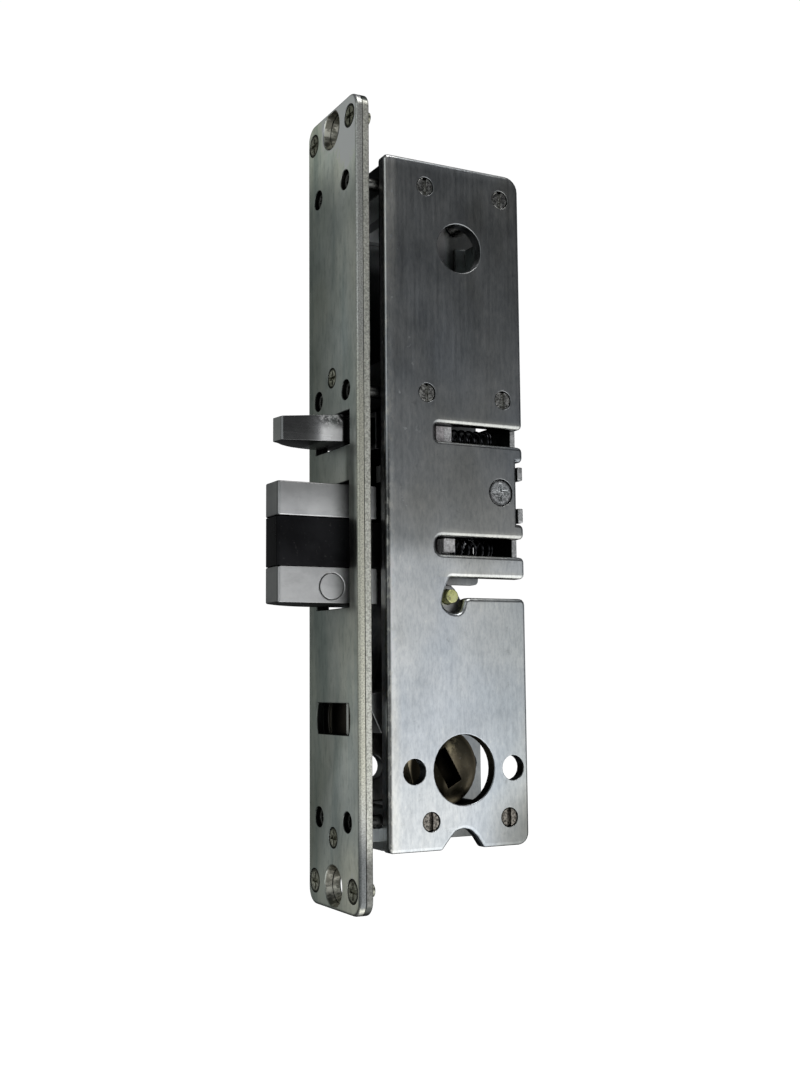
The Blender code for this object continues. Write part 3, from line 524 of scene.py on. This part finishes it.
def bolt_shade(tree, colour):
    """The bolt: painted light on its flat side towards the lower edges and on a band higher up, painted
    shade on the nose and underneath, and smears.
    """
    _, _, z = position(tree)
    normal = normal_of(tree)
    # Each face is painted lighter or darker by the way it looks: painted light on the flat side, painted
    # shade on the nose and underneath.
    side = ramp(tree, normal[1], -0.6, -0.95)
    lower = ramp(tree, z, INSERT_LOW.z + 1.2, INSERT_LOW.z - 0.8)
    colour = scaled(tree, overlap(tree, side, lower), colour, 1.45)
    top = INSERT_HIGH.z
    upper = overlap(tree, ramp(tree, z, top + 6.95, top + 0.15), ramp(tree, z, top - 3.05, top - 1.05))
    colour = scaled(tree, overlap(tree, side, upper), colour, 1.7)
    smears = patches(tree, 140.0, 0.40, 0.66, (1.0, 1.0, 1.6))
    colour = scaled(tree, overlap(tree, smears, 0.4), colour, (0.70, 0.70, 0.70))
    colour = scaled(tree, ramp(tree, normal[0], -0.6, -0.9), colour, 0.62)
    return scaled(tree, ramp(tree, normal[2], -0.5, -0.9), colour, 0.25)


def insert_shade(tree, colour):
    """The bolt's insert: painted shade on the nose."""
    return scaled(tree, ramp(tree, normal_of(tree)[0], -0.6, -0.9), colour, 0.4)


def trigger_shade(tree, colour):
    """The trigger bolt: painted shade towards the tip and where it goes into the faceplate, a painted
    highlight speckled with pits by the root, and nearly black painted shade underneath.
    """
    x, _, z = position(tree)
    normal = normal_of(tree)
    side = ramp(tree, normal[1], -0.6, -0.9)
    highlight_patch = between(tree, x, -7.2, -4.6, -0.4, 0.3)
    low = ramp(tree, z, TRIGGER_HIGH.z - 0.9, TRIGGER_HIGH.z - 4.1)
    painted_light = mix_colour(tree, low, scaled(tree, trigger_pits(tree), colour, 2.6), (1.0, 1.0, 1.0))
    # Painted shade on the flat side towards the tip.
    colour = scaled(tree, overlap(tree, side, ramp(tree, x, -6.0, -9.0)), colour, 0.50)
    # Painted highlight on the flat side by the root, speckled with pits.
    colour = mix_colour(tree, overlap(tree, side, highlight_patch), colour, painted_light)
    # Painted shade where the trigger goes into the faceplate.
    colour = scaled(tree, ramp(tree, x, -0.3, 0.5), colour, 0.15)
    # Painted shade underneath.
    return scaled(tree, ramp(tree, normal[2], -0.4, -0.8), colour, 0.04)


def trigger_pits(tree):
    return patches(tree, 900.0, 0.44, 0.60)


def trigger_dull(tree):
    """Where the trigger's flat side is made less metallic, to take more diffuse light: the lower part of
    its painted highlight and the pits in it.
    """
    x, _, z = position(tree)
    highlight_patch = between(tree, x, -6.0, -4.2, -0.4, 0.2)
    low = ramp(tree, z, TRIGGER_HIGH.z - 1.3, TRIGGER_HIGH.z - 3.9)
    return overlap(tree, highlight_patch, either(tree, low, overlap(tree, trigger_pits(tree), 0.5)))


def hub_shade(tree, colour):
    """The hub: painted shade in its slots, on its rim and towards its front, where the plate shadows it,
    with a warm painted highlight on its face and painted light on its lobe.
    """
    x, y, z = position(tree)
    from_axis = distance(tree, x, HUB_X, z, 0.0)
    # Painted highlight, warm, on the face.
    high = ramp(tree, distance(tree, x, HUB_X + 1.56, z, 5.0), 3.4, 0.6)
    warm_highlight = overlap(tree, high, patches(tree, 420.0, 0.42, 0.62), 0.9)
    colour = mix_colour(tree, warm_highlight, colour, (1.0, 0.86, 0.55))
    # Painted shade on the rim.
    colour = scaled(tree, ramp(tree, from_axis, 6.6, 8.2), colour, 0.45)
    # Painted shadow of the plate towards the front.
    front = overlap(tree, ramp(tree, x, HUB_X + 0.76, HUB_X - 1.24), ramp(tree, from_axis, 9.4, 8.8))
    colour = scaled(tree, front, colour, 0.06)
    # Painted light on the lobe.
    colour = scaled(tree, ramp(tree, from_axis, 9.0, 9.8), colour, 4.5)
    # Painted shade in the slots.
    pocket = overlap(tree, ramp(tree, y, -3.5, -3.1), ramp(tree, from_axis, 4.9, 4.5))
    return scaled(tree, pocket, colour, 0.04)


def guide_shade(tree, colour):
    """The guide blocks: pale and pitted, the upper pair duller on the front half."""
    x, _, z = position(tree)
    front = overlap(tree, ramp(tree, x, 23.5, 23.2), ramp(tree, z, 60.0, 64.0))
    colour = scaled(tree, front, colour, (0.80, 0.77, 0.78))
    pits = patches(tree, 1300.0, 0.40, 0.60, roughness=0.75)
    return scaled(tree, overlap(tree, pits, 0.7), colour, 0.45)


def pin_shade(tree, colour):
    """The link pin: mottled with dark pits."""
    return scaled(tree, patches(tree, 1100.0, 0.50, 0.60, roughness=0.8), colour, 0.50)


def spring_shade(tree, colour):
    """The springs: a painted highlight on one coil towards the rear of the bolt's spring."""
    x, _, z = position(tree)
    # Painted highlight on one coil.
    coil = overlap(tree, between(tree, x, 33.4, 33.7, 34.4, 34.7), ramp(tree, z, 62.0, 58.0))
    return mix_colour(tree, coil, colour, (0.75, 0.76, 0.77))


def bracket_shade(tree, colour):
    """The brackets: painted shade in the case, and painted light on the lowest and on the lower part of
    the highest.
    """
    _, _, z = position(tree)
    # Painted light on the lowest bracket and the lower part of the highest; painted shade on the rest.
    painted_light = either(tree, ramp(tree, z, -7.0, -8.0), between(tree, z, 119.0, 119.6, 124.4, 125.2))
    return mix_colour(tree, painted_light, times(tree, colour, 0.35), (0.92, 0.95, 0.95))


def cover_shade(tree, colour):
    """The covers, painted nearly black as painted shade. The one behind the window gets a painted
    highlight at both ends of what the window shows.
    """
    _, y, z = position(tree)
    in_window = ramp(tree, z, COVER_HIGH.z + 3.2, COVER_HIGH.z + 1.2)
    facing = overlap(tree, in_window, ramp(tree, normal_of(tree)[0], -0.6, -0.9))
    far = COVER_HIGH.y
    # Painted highlight at the far end of what the window shows.
    far_end_highlight = overlap(tree, facing, ramp(tree, y, far - 4.0, far - 2.8))
    colour = mix_colour(tree, far_end_highlight, colour, (0.88, 0.80, 0.68))
    # Painted highlight on a thin sliver at the other end.
    sliver_highlight = overlap(tree, facing, between(tree, y, 0.0, 0.3, 1.0, 1.3))
    return mix_colour(tree, sliver_highlight, colour, (1.0, 1.0, 0.96))


def inner_shade(tree, colour):
    """Parts inside the case: painted shade in the upper part of it."""
    return scaled(tree, ramp(tree, position(tree)[2], 32.0, 44.0), colour, 0.45)


def retainer_shade(tree, colour):
    """The retainer: nearly black painted shade on its inner wall, and pale pits painted as light at the
    rear and on its tabs.
    """
    normal = normal_of(tree)
    outer = either(tree, ramp(tree, normal[1], -0.5, -0.9), ramp(tree, normal[0], 0.5, 0.9))
    # Painted shade on the faces that don't look out.
    colour = scaled(tree, outside_of(tree, outer), colour, 0.10)
    # Painted light on the pits of the faces that look out.
    pits = patches(tree, 1100.0, 0.40, 0.60, roughness=0.75)
    return scaled(tree, overlap(tree, outer, pits), colour, 1.7)


def head_shade(axes, dark, ring):
    """A shade for a screw or post end: painted shade on its rim and a scored face, by shares of its
    bounding box.
    """
    def shade(tree, colour):
        point = bounding_point(tree)
        from_axis = distance(tree, point[axes[0]], 0.5, point[axes[1]], 0.5)
        colour = scaled(tree, patches(tree, 1700.0, 0.38, 0.60, roughness=0.8), colour, dark)
        # Painted shade on the rim.
        return scaled(tree, ramp(tree, from_axis, ring - 0.06, ring + 0.03), colour, 0.20)
    return shade


ALONG_X, ALONG_Y = (1, 2), (0, 2)


def post_shade(tree, colour):
    """The posts' ends: bright, and darker below."""
    colour = head_shade(ALONG_Y, 0.16, 0.40)(tree, colour)
    return scaled(tree, ramp(tree, position(tree)[2], 30.0, 20.0), colour, (0.42, 0.39, 0.36))


MATERIALS = {
    "faceplate_zinc": plated(
        "faceplate_zinc_plate", (0.36, 0.385, 0.365), (0.47, 0.49, 0.465), 0.42, speck=0.12, tint=0.12,
        shade=faceplate_shade),
    "mounting_plate": plated(
        "mounting_plate_zinc", (0.33, 0.355, 0.335), (0.43, 0.45, 0.425), 0.46, speck=0.12, tint=0.12,
        shade=mounting_plate_shade),
    "case_zinc": plated(
        "case_zinc_plate", (0.82, 0.85, 0.86), (0.95, 0.97, 0.97), 0.34, grain=0.45, speck=0.15, tint=0.26,
        shade=case_shade),
    "screw_zinc": plated(
        "screw_zinc_plate", (0.40, 0.40, 0.31), (0.72, 0.72, 0.60), 0.36, "X", grain=0.2,
        shade=head_shade(ALONG_X, 0.35, 0.42)),
    "retainer_screw": plated(
        "retainer_screw_zinc", (0.85, 0.90, 0.91), (1.0, 1.0, 1.0), 0.26, "Y", grain=0.2, speck=0.4,
        bump=0.6, shade=head_shade(ALONG_Y, 0.45, 0.44)),
    "post_nickel": plated(
        "post_nickel_plate", (0.80, 0.79, 0.74), (1.0, 0.99, 0.94), 0.30, "X", bump=0.9, shade=post_shade),
    "adjuster_nickel": plated(
        "adjuster_nickel_plate", (0.10, 0.10, 0.095), (0.34, 0.34, 0.32), 0.36, "Y", grain=0.2, speck=0.4,
        shade=head_shade(ALONG_X, 0.40, 0.40)),
    "bolt_steel": plated(
        "bolt_ground_steel", (0.50, 0.50, 0.50), (0.60, 0.60, 0.595), 0.46, grain=0.45, speck=0.08,
        shade=bolt_shade),
    "insert_black": plated(
        "insert_black_steel", (0.010, 0.010, 0.011), (0.022, 0.022, 0.024), 0.42, speck=0.03, metallic=0.8,
        shade=insert_shade),
    "trigger_steel": plated(
        "trigger_polished_steel", (0.30, 0.30, 0.30), (0.40, 0.40, 0.395), 0.26, "X", grain=0.25, speck=0.08,
        shade=trigger_shade, dull=trigger_dull),
    "hub_bronze": plated(
        "hub_dark_bronze", (0.16, 0.135, 0.085), (0.34, 0.29, 0.20), 0.38, "Y", grain=0.2, shade=hub_shade),
    "lever_steel": plated(
        "lever_pressed_steel", (0.40, 0.40, 0.40), (0.60, 0.60, 0.59), 0.36, "X", grain=0.35,
        shade=inner_shade),
    "guide_steel": plated(
        "guide_block_steel", (0.80, 0.79, 0.80), (1.0, 0.99, 0.99), 0.46, speck=0.4, metallic=0.35,
        shade=guide_shade),
    "bracket_steel": plated(
        "bracket_pressed_steel", (0.22, 0.23, 0.235), (0.34, 0.35, 0.36), 0.40, shade=bracket_shade),
    "retainer_steel": plated(
        "retainer_pressed_steel", (0.44, 0.44, 0.44), (0.62, 0.62, 0.61), 0.40, speck=0.4,
        shade=retainer_shade),
    "strap_steel": plated(
        "strap_pressed_steel", (0.36, 0.39, 0.385), (0.62, 0.66, 0.65), 0.30, speck=0.2),
    # Nearly black: painted shade for the covers inside the case.
    "cover_steel": plated(
        "cover_painted_shade_steel", (0.035, 0.030, 0.026), (0.075, 0.065, 0.055), 0.34, speck=0.1,
        shade=cover_shade),
    "brass": plated(
        "link_pin_brass", (0.62, 0.64, 0.20), (1.0, 1.0, 0.58), 0.40, "Y", grain=0.2, speck=0.8,
        metallic=0.8, shade=pin_shade),
    "spring_steel": plated(
        "spring_wire_steel", (0.05, 0.05, 0.055), (0.12, 0.12, 0.13), 0.32, "X", grain=0.2, speck=0.1,
        shade=spring_shade),
}


# ---------------------------------------------------------------- plates with rolled edges

def section(axis, point):
    """The point's two coordinates across the axis: y and z across X, x and z across Y."""
    return (point[1], point[2]) if axis == 0 else (point[0], point[2])


def solid_point(axis, flat, along):
    return (along, flat[0], flat[1]) if axis == 0 else (flat[0], along, flat[1])


def welded_points(mesh):
    """The mesh's distinct points, and for each vertex the number of its point."""
    numbers = {}
    points = []
    point_of = []
    for vertex in mesh.vertices:
        key = tuple(round(c * POINTS_PER_METRE) for c in vertex.co)
        if key not in numbers:
            numbers[key] = len(points)
            points.append(tuple(vertex.co))
        point_of.append(numbers[key])
    return points, point_of


def cap_loops(node, axis, level):
    """The edges of the flat face at this level along the axis, as loops with the metal on one side."""
    mesh = NODES[node].data
    points, point_of = welded_points(mesh)
    edges = {}
    mesh.calc_loop_triangles()
    for triangle in mesh.loop_triangles:
        corners = [point_of[v] for v in triangle.vertices]
        if len(set(corners)) == 3 and all(abs(points[c][axis] - level) < LEVEL_SLACK for c in corners):
            edges.update(dict.fromkeys(zip(corners, corners[1:] + corners[:1])))
    following = {a: b for a, b in edges if (b, a) not in edges}
    loops = []
    while following:
        start, here = following.popitem()
        loop = [start]
        while here != start:
            loop.append(here)
            here = following.pop(here)
        loops.append(plain_loop([Vector(section(axis, points[i])) for i in loop]))
    return loops


def plain_loop(loop):
    """Drops points that repeat or that lie on a straight stretch."""
    kept = [p for p, q in zip(loop, loop[-1:] + loop[:-1]) if (p - q).length > SHORTEST_EDGE]
    out = []
    for i, point in enumerate(kept):
        before = point - kept[i - 1]
        after = kept[(i + 1) % len(kept)] - point
        if abs(before.normalized().cross(after.normalized())) > STRAIGHT_SINE:
            out.append(point)
    return out


def inset(loop, width):
    """The loop moved into the metal, which lies to the left of its direction."""
    moved = []
    for i, point in enumerate(loop):
        before = (point - loop[i - 1]).normalized()
        after = (loop[(i + 1) % len(loop)] - point).normalized()
        left_before = Vector((-before.y, before.x))
        left_after = Vector((-after.y, after.x))
        lean = max(1.0 + left_before.dot(left_after), SHARPEST_LEAN)
        moved.append(point + (left_before + left_after) * (width / lean))
    return moved


def signed_area(loop):
    return sum(a.cross(b) for a, b in zip(loop, loop[1:] + loop[:1])) / 2


def size_of(loop):
    return abs(signed_area(loop))


def centre_of(loop):
    return sum(loop, Vector((0.0, 0.0))) / len(loop)


def metal_left(loops):
    """The loops turned round if the metal lies to the right of them."""
    if signed_area(max(loops, key=size_of)) < 0:
        return [loop[::-1] for loop in loops]
    return loops


def matching(loop, candidates):
    """The candidate loop around the same place, started at the nearest point, or the loop itself."""
    best = min(candidates, key=lambda c: (centre_of(c) - centre_of(loop)).length)
    if len(best) != len(loop) or (centre_of(best) - centre_of(loop)).length > SAME_CENTRE:
        return loop
    start = min(range(len(best)), key=lambda i: (best[i] - loop[0]).length)
    return best[start:] + best[:start]


def kind_of(loop, back):
    """What the loop goes round: the outline, a countersink, or a large or small hole."""
    if signed_area(loop) > 0:
        return "outline"
    if size_of(back) < SINK_SHARE * size_of(loop):
        return "sink"
    return "large hole" if size_of(loop) > LARGE_HOLE_AREA * MM * MM else "small hole"


def painted_wall_light_of(axis, flat, kind):
    """How much painted shade the cut wall gets here: 1 in holes and slots, less at the rear of the case's
    upper hole and round the case, 0 on the case's front edge and round the faceplate, and -1, a painted
    highlight, in countersinks and the screw holes behind them."""
    across, height = flat[0] / MM, flat[1] / MM
    if kind == "outline":
        return 0.9 if axis == 1 and across > CASE_LOW.x + CASE_FRONT_EDGE else 0.0
    lowest, highest = SCREW_HOLES_PAST
    at_screw = axis == 0 and abs(across) < SCREW_HOLE_REACH and not lowest < height < highest
    if kind == "sink" or at_screw:
        return -1.0
    return 0.5 if axis == 1 and across > UPPER_HOLE_X and height > UPPER_HOLE_PAST else 1.0


def roll_rings(loop, turn_in, outer, outward, limits):
    """The rings of points over the rolled edge. A countersink's stay between the limits."""
    rings = []
    for step in range(ROLL_STEPS + 1):
        turn = math.radians(90) * step / ROLL_STEPS
        flat = inset(loop, turn_in * (1 - math.sin(turn)))
        if limits:
            flat = [Vector((p.x, min(max(p.y, limits[0]), limits[1]))) for p in flat]
        rings.append((flat, outer - outward * turn_in * (1 - math.cos(turn)), 0.0))
    return rings


def wall_rings(loop, back, turn_in, outer, inner, outward, back_break):
    """The rings of points down the cut wall and over the broken back edge."""
    deep = outer - outward * (turn_in + WALL_START * MM)
    share = (deep - outer) / (inner - outer)
    return [
        ([p.lerp(q, share) for p, q in zip(loop, back)], deep, 1.0),
        (back, inner + outward * back_break * MM, 1.0),
        (inset(back, back_break * MM), inner, BACK_EDGE_DARKNESS),
    ]


def bridge(mesh, rows):
    """Faces between each closed row of vertices and the next."""
    for first, last in zip(rows, rows[1:]):
        for i in range(len(first)):
            j = (i + 1) % len(first)
            mesh.faces.new((first[i], first[j], last[j], last[i]))


def fill_face(mesh, axis, rows):
    """A flat face between the outline's row of vertices and the holes' rows."""
    flat = [[Vector((*section(axis, v.co), 0.0)) for v in row] for row in rows]
    corners = [v for row in rows for v in row]
    for triangle in tessellate_polygon(flat):
        face = [corners[i] for i in triangle]
        if len(set(face)) == 3:
            mesh.faces.new(face)


def rolled_plate(node, axis, outward, roll, back_break, material):
    """A plate like the CAD node, with its outline rolled over, its holes less, and its back edges broken."""
    low, high = (corner[axis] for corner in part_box(node))
    outer, inner = (high, low) if outward > 0 else (low, high)
    loops = metal_left(cap_loops(node, axis, outer))
    back_loops = metal_left(cap_loops(node, axis, inner))
    heights = [p.y for p in max(loops, key=size_of)]
    limits = (min(heights) + roll * MM + SINK_MARGIN * MM, max(heights) - roll * MM - SINK_MARGIN * MM)
    rolls = {"outline": roll, "large hole": LARGE_HOLE_ROLL, "small hole": HOLE_ROLL, "sink": HOLE_ROLL}
    mesh = bmesh.new()
    painted_wall_light = mesh.verts.layers.float.new("painted_wall_light")
    fronts, backs = [], []
    for loop in loops:
        back = matching(loop, back_loops)
        kind = kind_of(loop, back)
        turn_in = rolls[kind] * MM
        rings = roll_rings(loop, turn_in, outer, outward, limits if kind == "sink" else None)
        rings += wall_rings(loop, back, turn_in, outer, inner, outward, back_break)
        rows = []
        # Each point carries its share of the painted shade on its cut wall; in countersinks it is a painted
        # highlight.
        for flat, along, wall_light_share in rings:
            rows.append([mesh.verts.new(solid_point(axis, p, along)) for p in flat])
            for vertex, p in zip(rows[-1], flat):
                vertex[painted_wall_light] = wall_light_share * painted_wall_light_of(axis, p, kind)
        bridge(mesh, rows)
        fronts.append(rows[0])
        backs.append(rows[-1])
    fill_face(mesh, axis, fronts)
    fill_face(mesh, axis, backs)
    keep_faces_flat(finished_piece(f"{node}_rolled", mesh, material, node))


# ---------------------------------------------------------------- softened CAD pieces and springs

def keep_faces_flat(obj):
    weighted = obj.modifiers.new("flat_faces", "WEIGHTED_NORMAL")
    weighted.keep_sharp = True
    weighted.weight = 100


def finished_piece(name, mesh, material, node):
    """An object with this mesh, which rides on the case in place of the CAD node."""
    bmesh.ops.recalc_face_normals(mesh, faces=mesh.faces)
    data = bpy.data.meshes.new(name)
    mesh.to_mesh(data)
    mesh.free()
    obj = bpy.data.objects.new(name, data)
    bpy.context.scene.collection.objects.link(obj)
    data.materials.append(MATERIALS[material])
    data.shade_smooth()
    data.set_sharp_from_angle(angle=SHARP_ANGLE)
    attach(obj, "case")
    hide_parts(node)
    return obj


def soften(node, material, width):
    """Breaks the edges of a CAD node with a small bevel, and gives it its metal."""
    obj = NODES[node]
    if "custom_normal" in obj.data.attributes:
        obj.data.attributes.remove(obj.data.attributes["custom_normal"])
    obj.data.shade_smooth()
    obj.data.materials.clear()
    obj.data.materials.append(MATERIALS[material])
    weld = obj.modifiers.new("weld", "WELD")
    weld.merge_threshold = WELD_DISTANCE
    flat = obj.modifiers.new("flat", "DECIMATE")
    flat.decimate_type = "DISSOLVE"
    flat.angle_limit = FLAT_ANGLE
    bevel = obj.modifiers.new("bevel", "BEVEL")
    bevel.width = width * MM
    bevel.segments = BEVEL_STEPS
    bevel.limit_method = "ANGLE"
    bevel.angle_limit = BEVEL_ANGLE
    bevel.miter_outer = "MITER_ARC"
    bevel.use_clamp_overlap = True
    keep_faces_flat(obj)


def coil_place(turn, turns, start, end, closed_length):
    """Where a turn of the spring lies along it: close together at both ends, evenly spread between."""
    if turn < CLOSED_TURNS:
        return start + closed_length * turn / CLOSED_TURNS
    if turn > turns - CLOSED_TURNS:
        return end - closed_length * (turns - turn) / CLOSED_TURNS
    share = (turn - CLOSED_TURNS) / (turns - 2 * CLOSED_TURNS)
    return start + closed_length + (end - start - 2 * closed_length) * share


def helix(node, joint, turns, wire, radius, keep):
    """A round-wire compression spring between the same ends as the CAD node, with closed end coils."""
    low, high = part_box(node)
    centre_y, centre_z = (low[1] + high[1]) / 2, (low[2] + high[2]) / 2
    start, end = low[0] + wire * MM, high[0] - wire * MM
    closed_length = CLOSED_TURNS * CLOSED_PITCH * wire * MM
    mesh = bmesh.new()
    rows = []
    for step in range(turns * COIL_STEPS + 1):
        turn = step / COIL_STEPS
        along = coil_place(turn, turns, start, end, closed_length)
        angle = 2 * math.pi * turn
        row = []
        for side in range(WIRE_SIDES):
            lean = 2 * math.pi * side / WIRE_SIDES
            reach = (radius + wire * math.cos(lean)) * MM
            x = along + wire * MM * math.sin(lean)
            y = centre_y + reach * math.cos(angle)
            z = centre_z + reach * math.sin(angle)
            row.append(mesh.verts.new((x, y, z)))
        rows.append(row)
    mesh.faces.new(rows[0])
    mesh.faces.new(rows[-1][::-1])
    bridge(mesh, rows[::-1])
    obj = finished_piece(f"{node}_coil", mesh, "spring_steel", node)
    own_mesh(obj)


# ---------------------------------------------------------------- pieces

rolled_plate("near_side_plate", 1, -1, CASE_ROLL, CASE_BREAK, "case_zinc")
rolled_plate("far_side_plate", 1, 1, CASE_ROLL, CASE_BREAK, "case_zinc")
rolled_plate("faceplate", 0, -1, FACEPLATE_ROLL, FACEPLATE_BREAK, "faceplate_zinc")
rolled_plate("mounting_plate", 0, 1, MOUNTING_ROLL, FACEPLATE_BREAK, "mounting_plate")

SLOT_OF = {entry["node"]: entry["material_slot"] for entry in frame["record"]["subparts"]}
for name in sorted(NODES):
    if name not in PLATES + SPRINGS:
        looks = [look for start, look in LOOK_BY_NAME.items() if name.startswith(start)]
        soften(name, looks[0] if looks else SLOT_OF[name], EDGE_BREAK.get(name, SMALL_EDGE_BREAK))

swell = NODES["bolt_cross_pin"].modifiers.new("pressed_in", "DISPLACE")
swell.strength = CROSS_PIN_SWELL * MM
swell.mid_level = 0.0

helix("bolt_spring", "bolt_slide", *BOLT_SPRING)
helix("trigger_spring", "trigger_slide", *TRIGGER_SPRING)


# ---------------------------------------------------------------- studio

def make_floor():
    """A white floor just under the lock, that isn't mirrored in it."""
    mesh = bmesh.new()
    bmesh.ops.create_grid(mesh, x_segments=FLOOR_SQUARES, y_segments=FLOOR_SQUARES, size=FLOOR_REACH)
    data = bpy.data.meshes.new("floor")
    mesh.to_mesh(data)
    mesh.free()
    floor = bpy.data.objects.new("floor", data)
    floor.location = (0.0, 0.0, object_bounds()[0][2] - FLOOR_GAP * MM)
    floor.visible_glossy = False
    bpy.context.scene.collection.objects.link(floor)
    mat, _, shader = new_material("floor_white")
    shader.inputs["Base Color"].default_value = (0.30, 0.30, 0.30, 1.0)
    shader.inputs["Roughness"].default_value = 0.85
    shader.inputs["Specular IOR Level"].default_value = 0.0
    shader.inputs["Emission Color"].default_value = (1.0, 1.0, 1.0, 1.0)
    shader.inputs["Emission Strength"].default_value = 1.0
    data.materials.append(mat)


def make_world():
    """A white backdrop, in a dark room with large soft lights."""
    world = bpy.data.worlds.new("studio")
    bpy.context.scene.world = world
    world.use_nodes = True
    tree = world.node_tree
    tree.nodes.clear()
    coords = tree.nodes.new("ShaderNodeTexCoord")
    colour = ROOM
    for direction, start, full, light in LIGHTS.values():
        facing = tree.nodes.new("ShaderNodeVectorMath")
        facing.operation = "DOT_PRODUCT"
        facing.inputs[1].default_value = Vector(direction).normalized()
        link(tree, coords.outputs["Generated"], facing.inputs[0])
        colour = mix_colour(tree, ramp(tree, facing.outputs["Value"], start, full), colour, light)
    paths = tree.nodes.new("ShaderNodeLightPath")
    colour = mix_colour(tree, paths.outputs["Is Camera Ray"], colour, BACKDROP)
    background = tree.nodes.new("ShaderNodeBackground")
    link(tree, colour, background.inputs["Color"])
    out = tree.nodes.new("ShaderNodeOutputWorld")
    link(tree, background.outputs[0], out.inputs[0])


def make_top_light():
    lamp = bpy.data.lights.new("top", "AREA")
    lamp.shape = "RECTANGLE"
    lamp.size = lamp.size_y = TOP_LIGHT_SIZE
    lamp.energy = TOP_LIGHT_POWER
    obj = bpy.data.objects.new("top", lamp)
    obj.location = TOP_LIGHT_PLACE
    obj.rotation_mode = "QUATERNION"
    towards = Vector(TOP_LIGHT_TARGET) - Vector(TOP_LIGHT_PLACE)
    obj.rotation_quaternion = towards.to_track_quat("-Z", "Y")
    bpy.context.scene.collection.objects.link(obj)


def make_camera():
    """The photograph's camera: turned by the yaw, tipped up by the pitch, and rolled."""
    yaw, pitch, roll = (math.radians(angle) for angle in CAMERA_TURNS)
    ahead = Vector((math.sin(yaw) * math.cos(pitch), math.cos(yaw) * math.cos(pitch), math.sin(pitch)))
    level = Vector((math.cos(yaw), -math.sin(yaw), 0.0))
    up = level.cross(ahead)
    right = math.cos(roll) * level + math.sin(roll) * up
    up = math.cos(roll) * up - math.sin(roll) * level
    data = bpy.data.cameras.new("camera")
    data.lens = CAMERA_LENS
    data.sensor_width = CAMERA_SENSOR
    data.clip_start = 0.01
    data.clip_end = 20.0
    camera = bpy.data.objects.new("camera", data)
    turn = Matrix((right, up, -ahead)).transposed()
    camera.matrix_world = Matrix.Translation(CAMERA_PLACE) @ turn.to_4x4()
    bpy.context.scene.collection.objects.link(camera)
    bpy.context.scene.camera = camera


make_floor()
make_world()
make_top_light()
make_camera()
bpy.context.scene.view_settings.view_transform = "Standard"
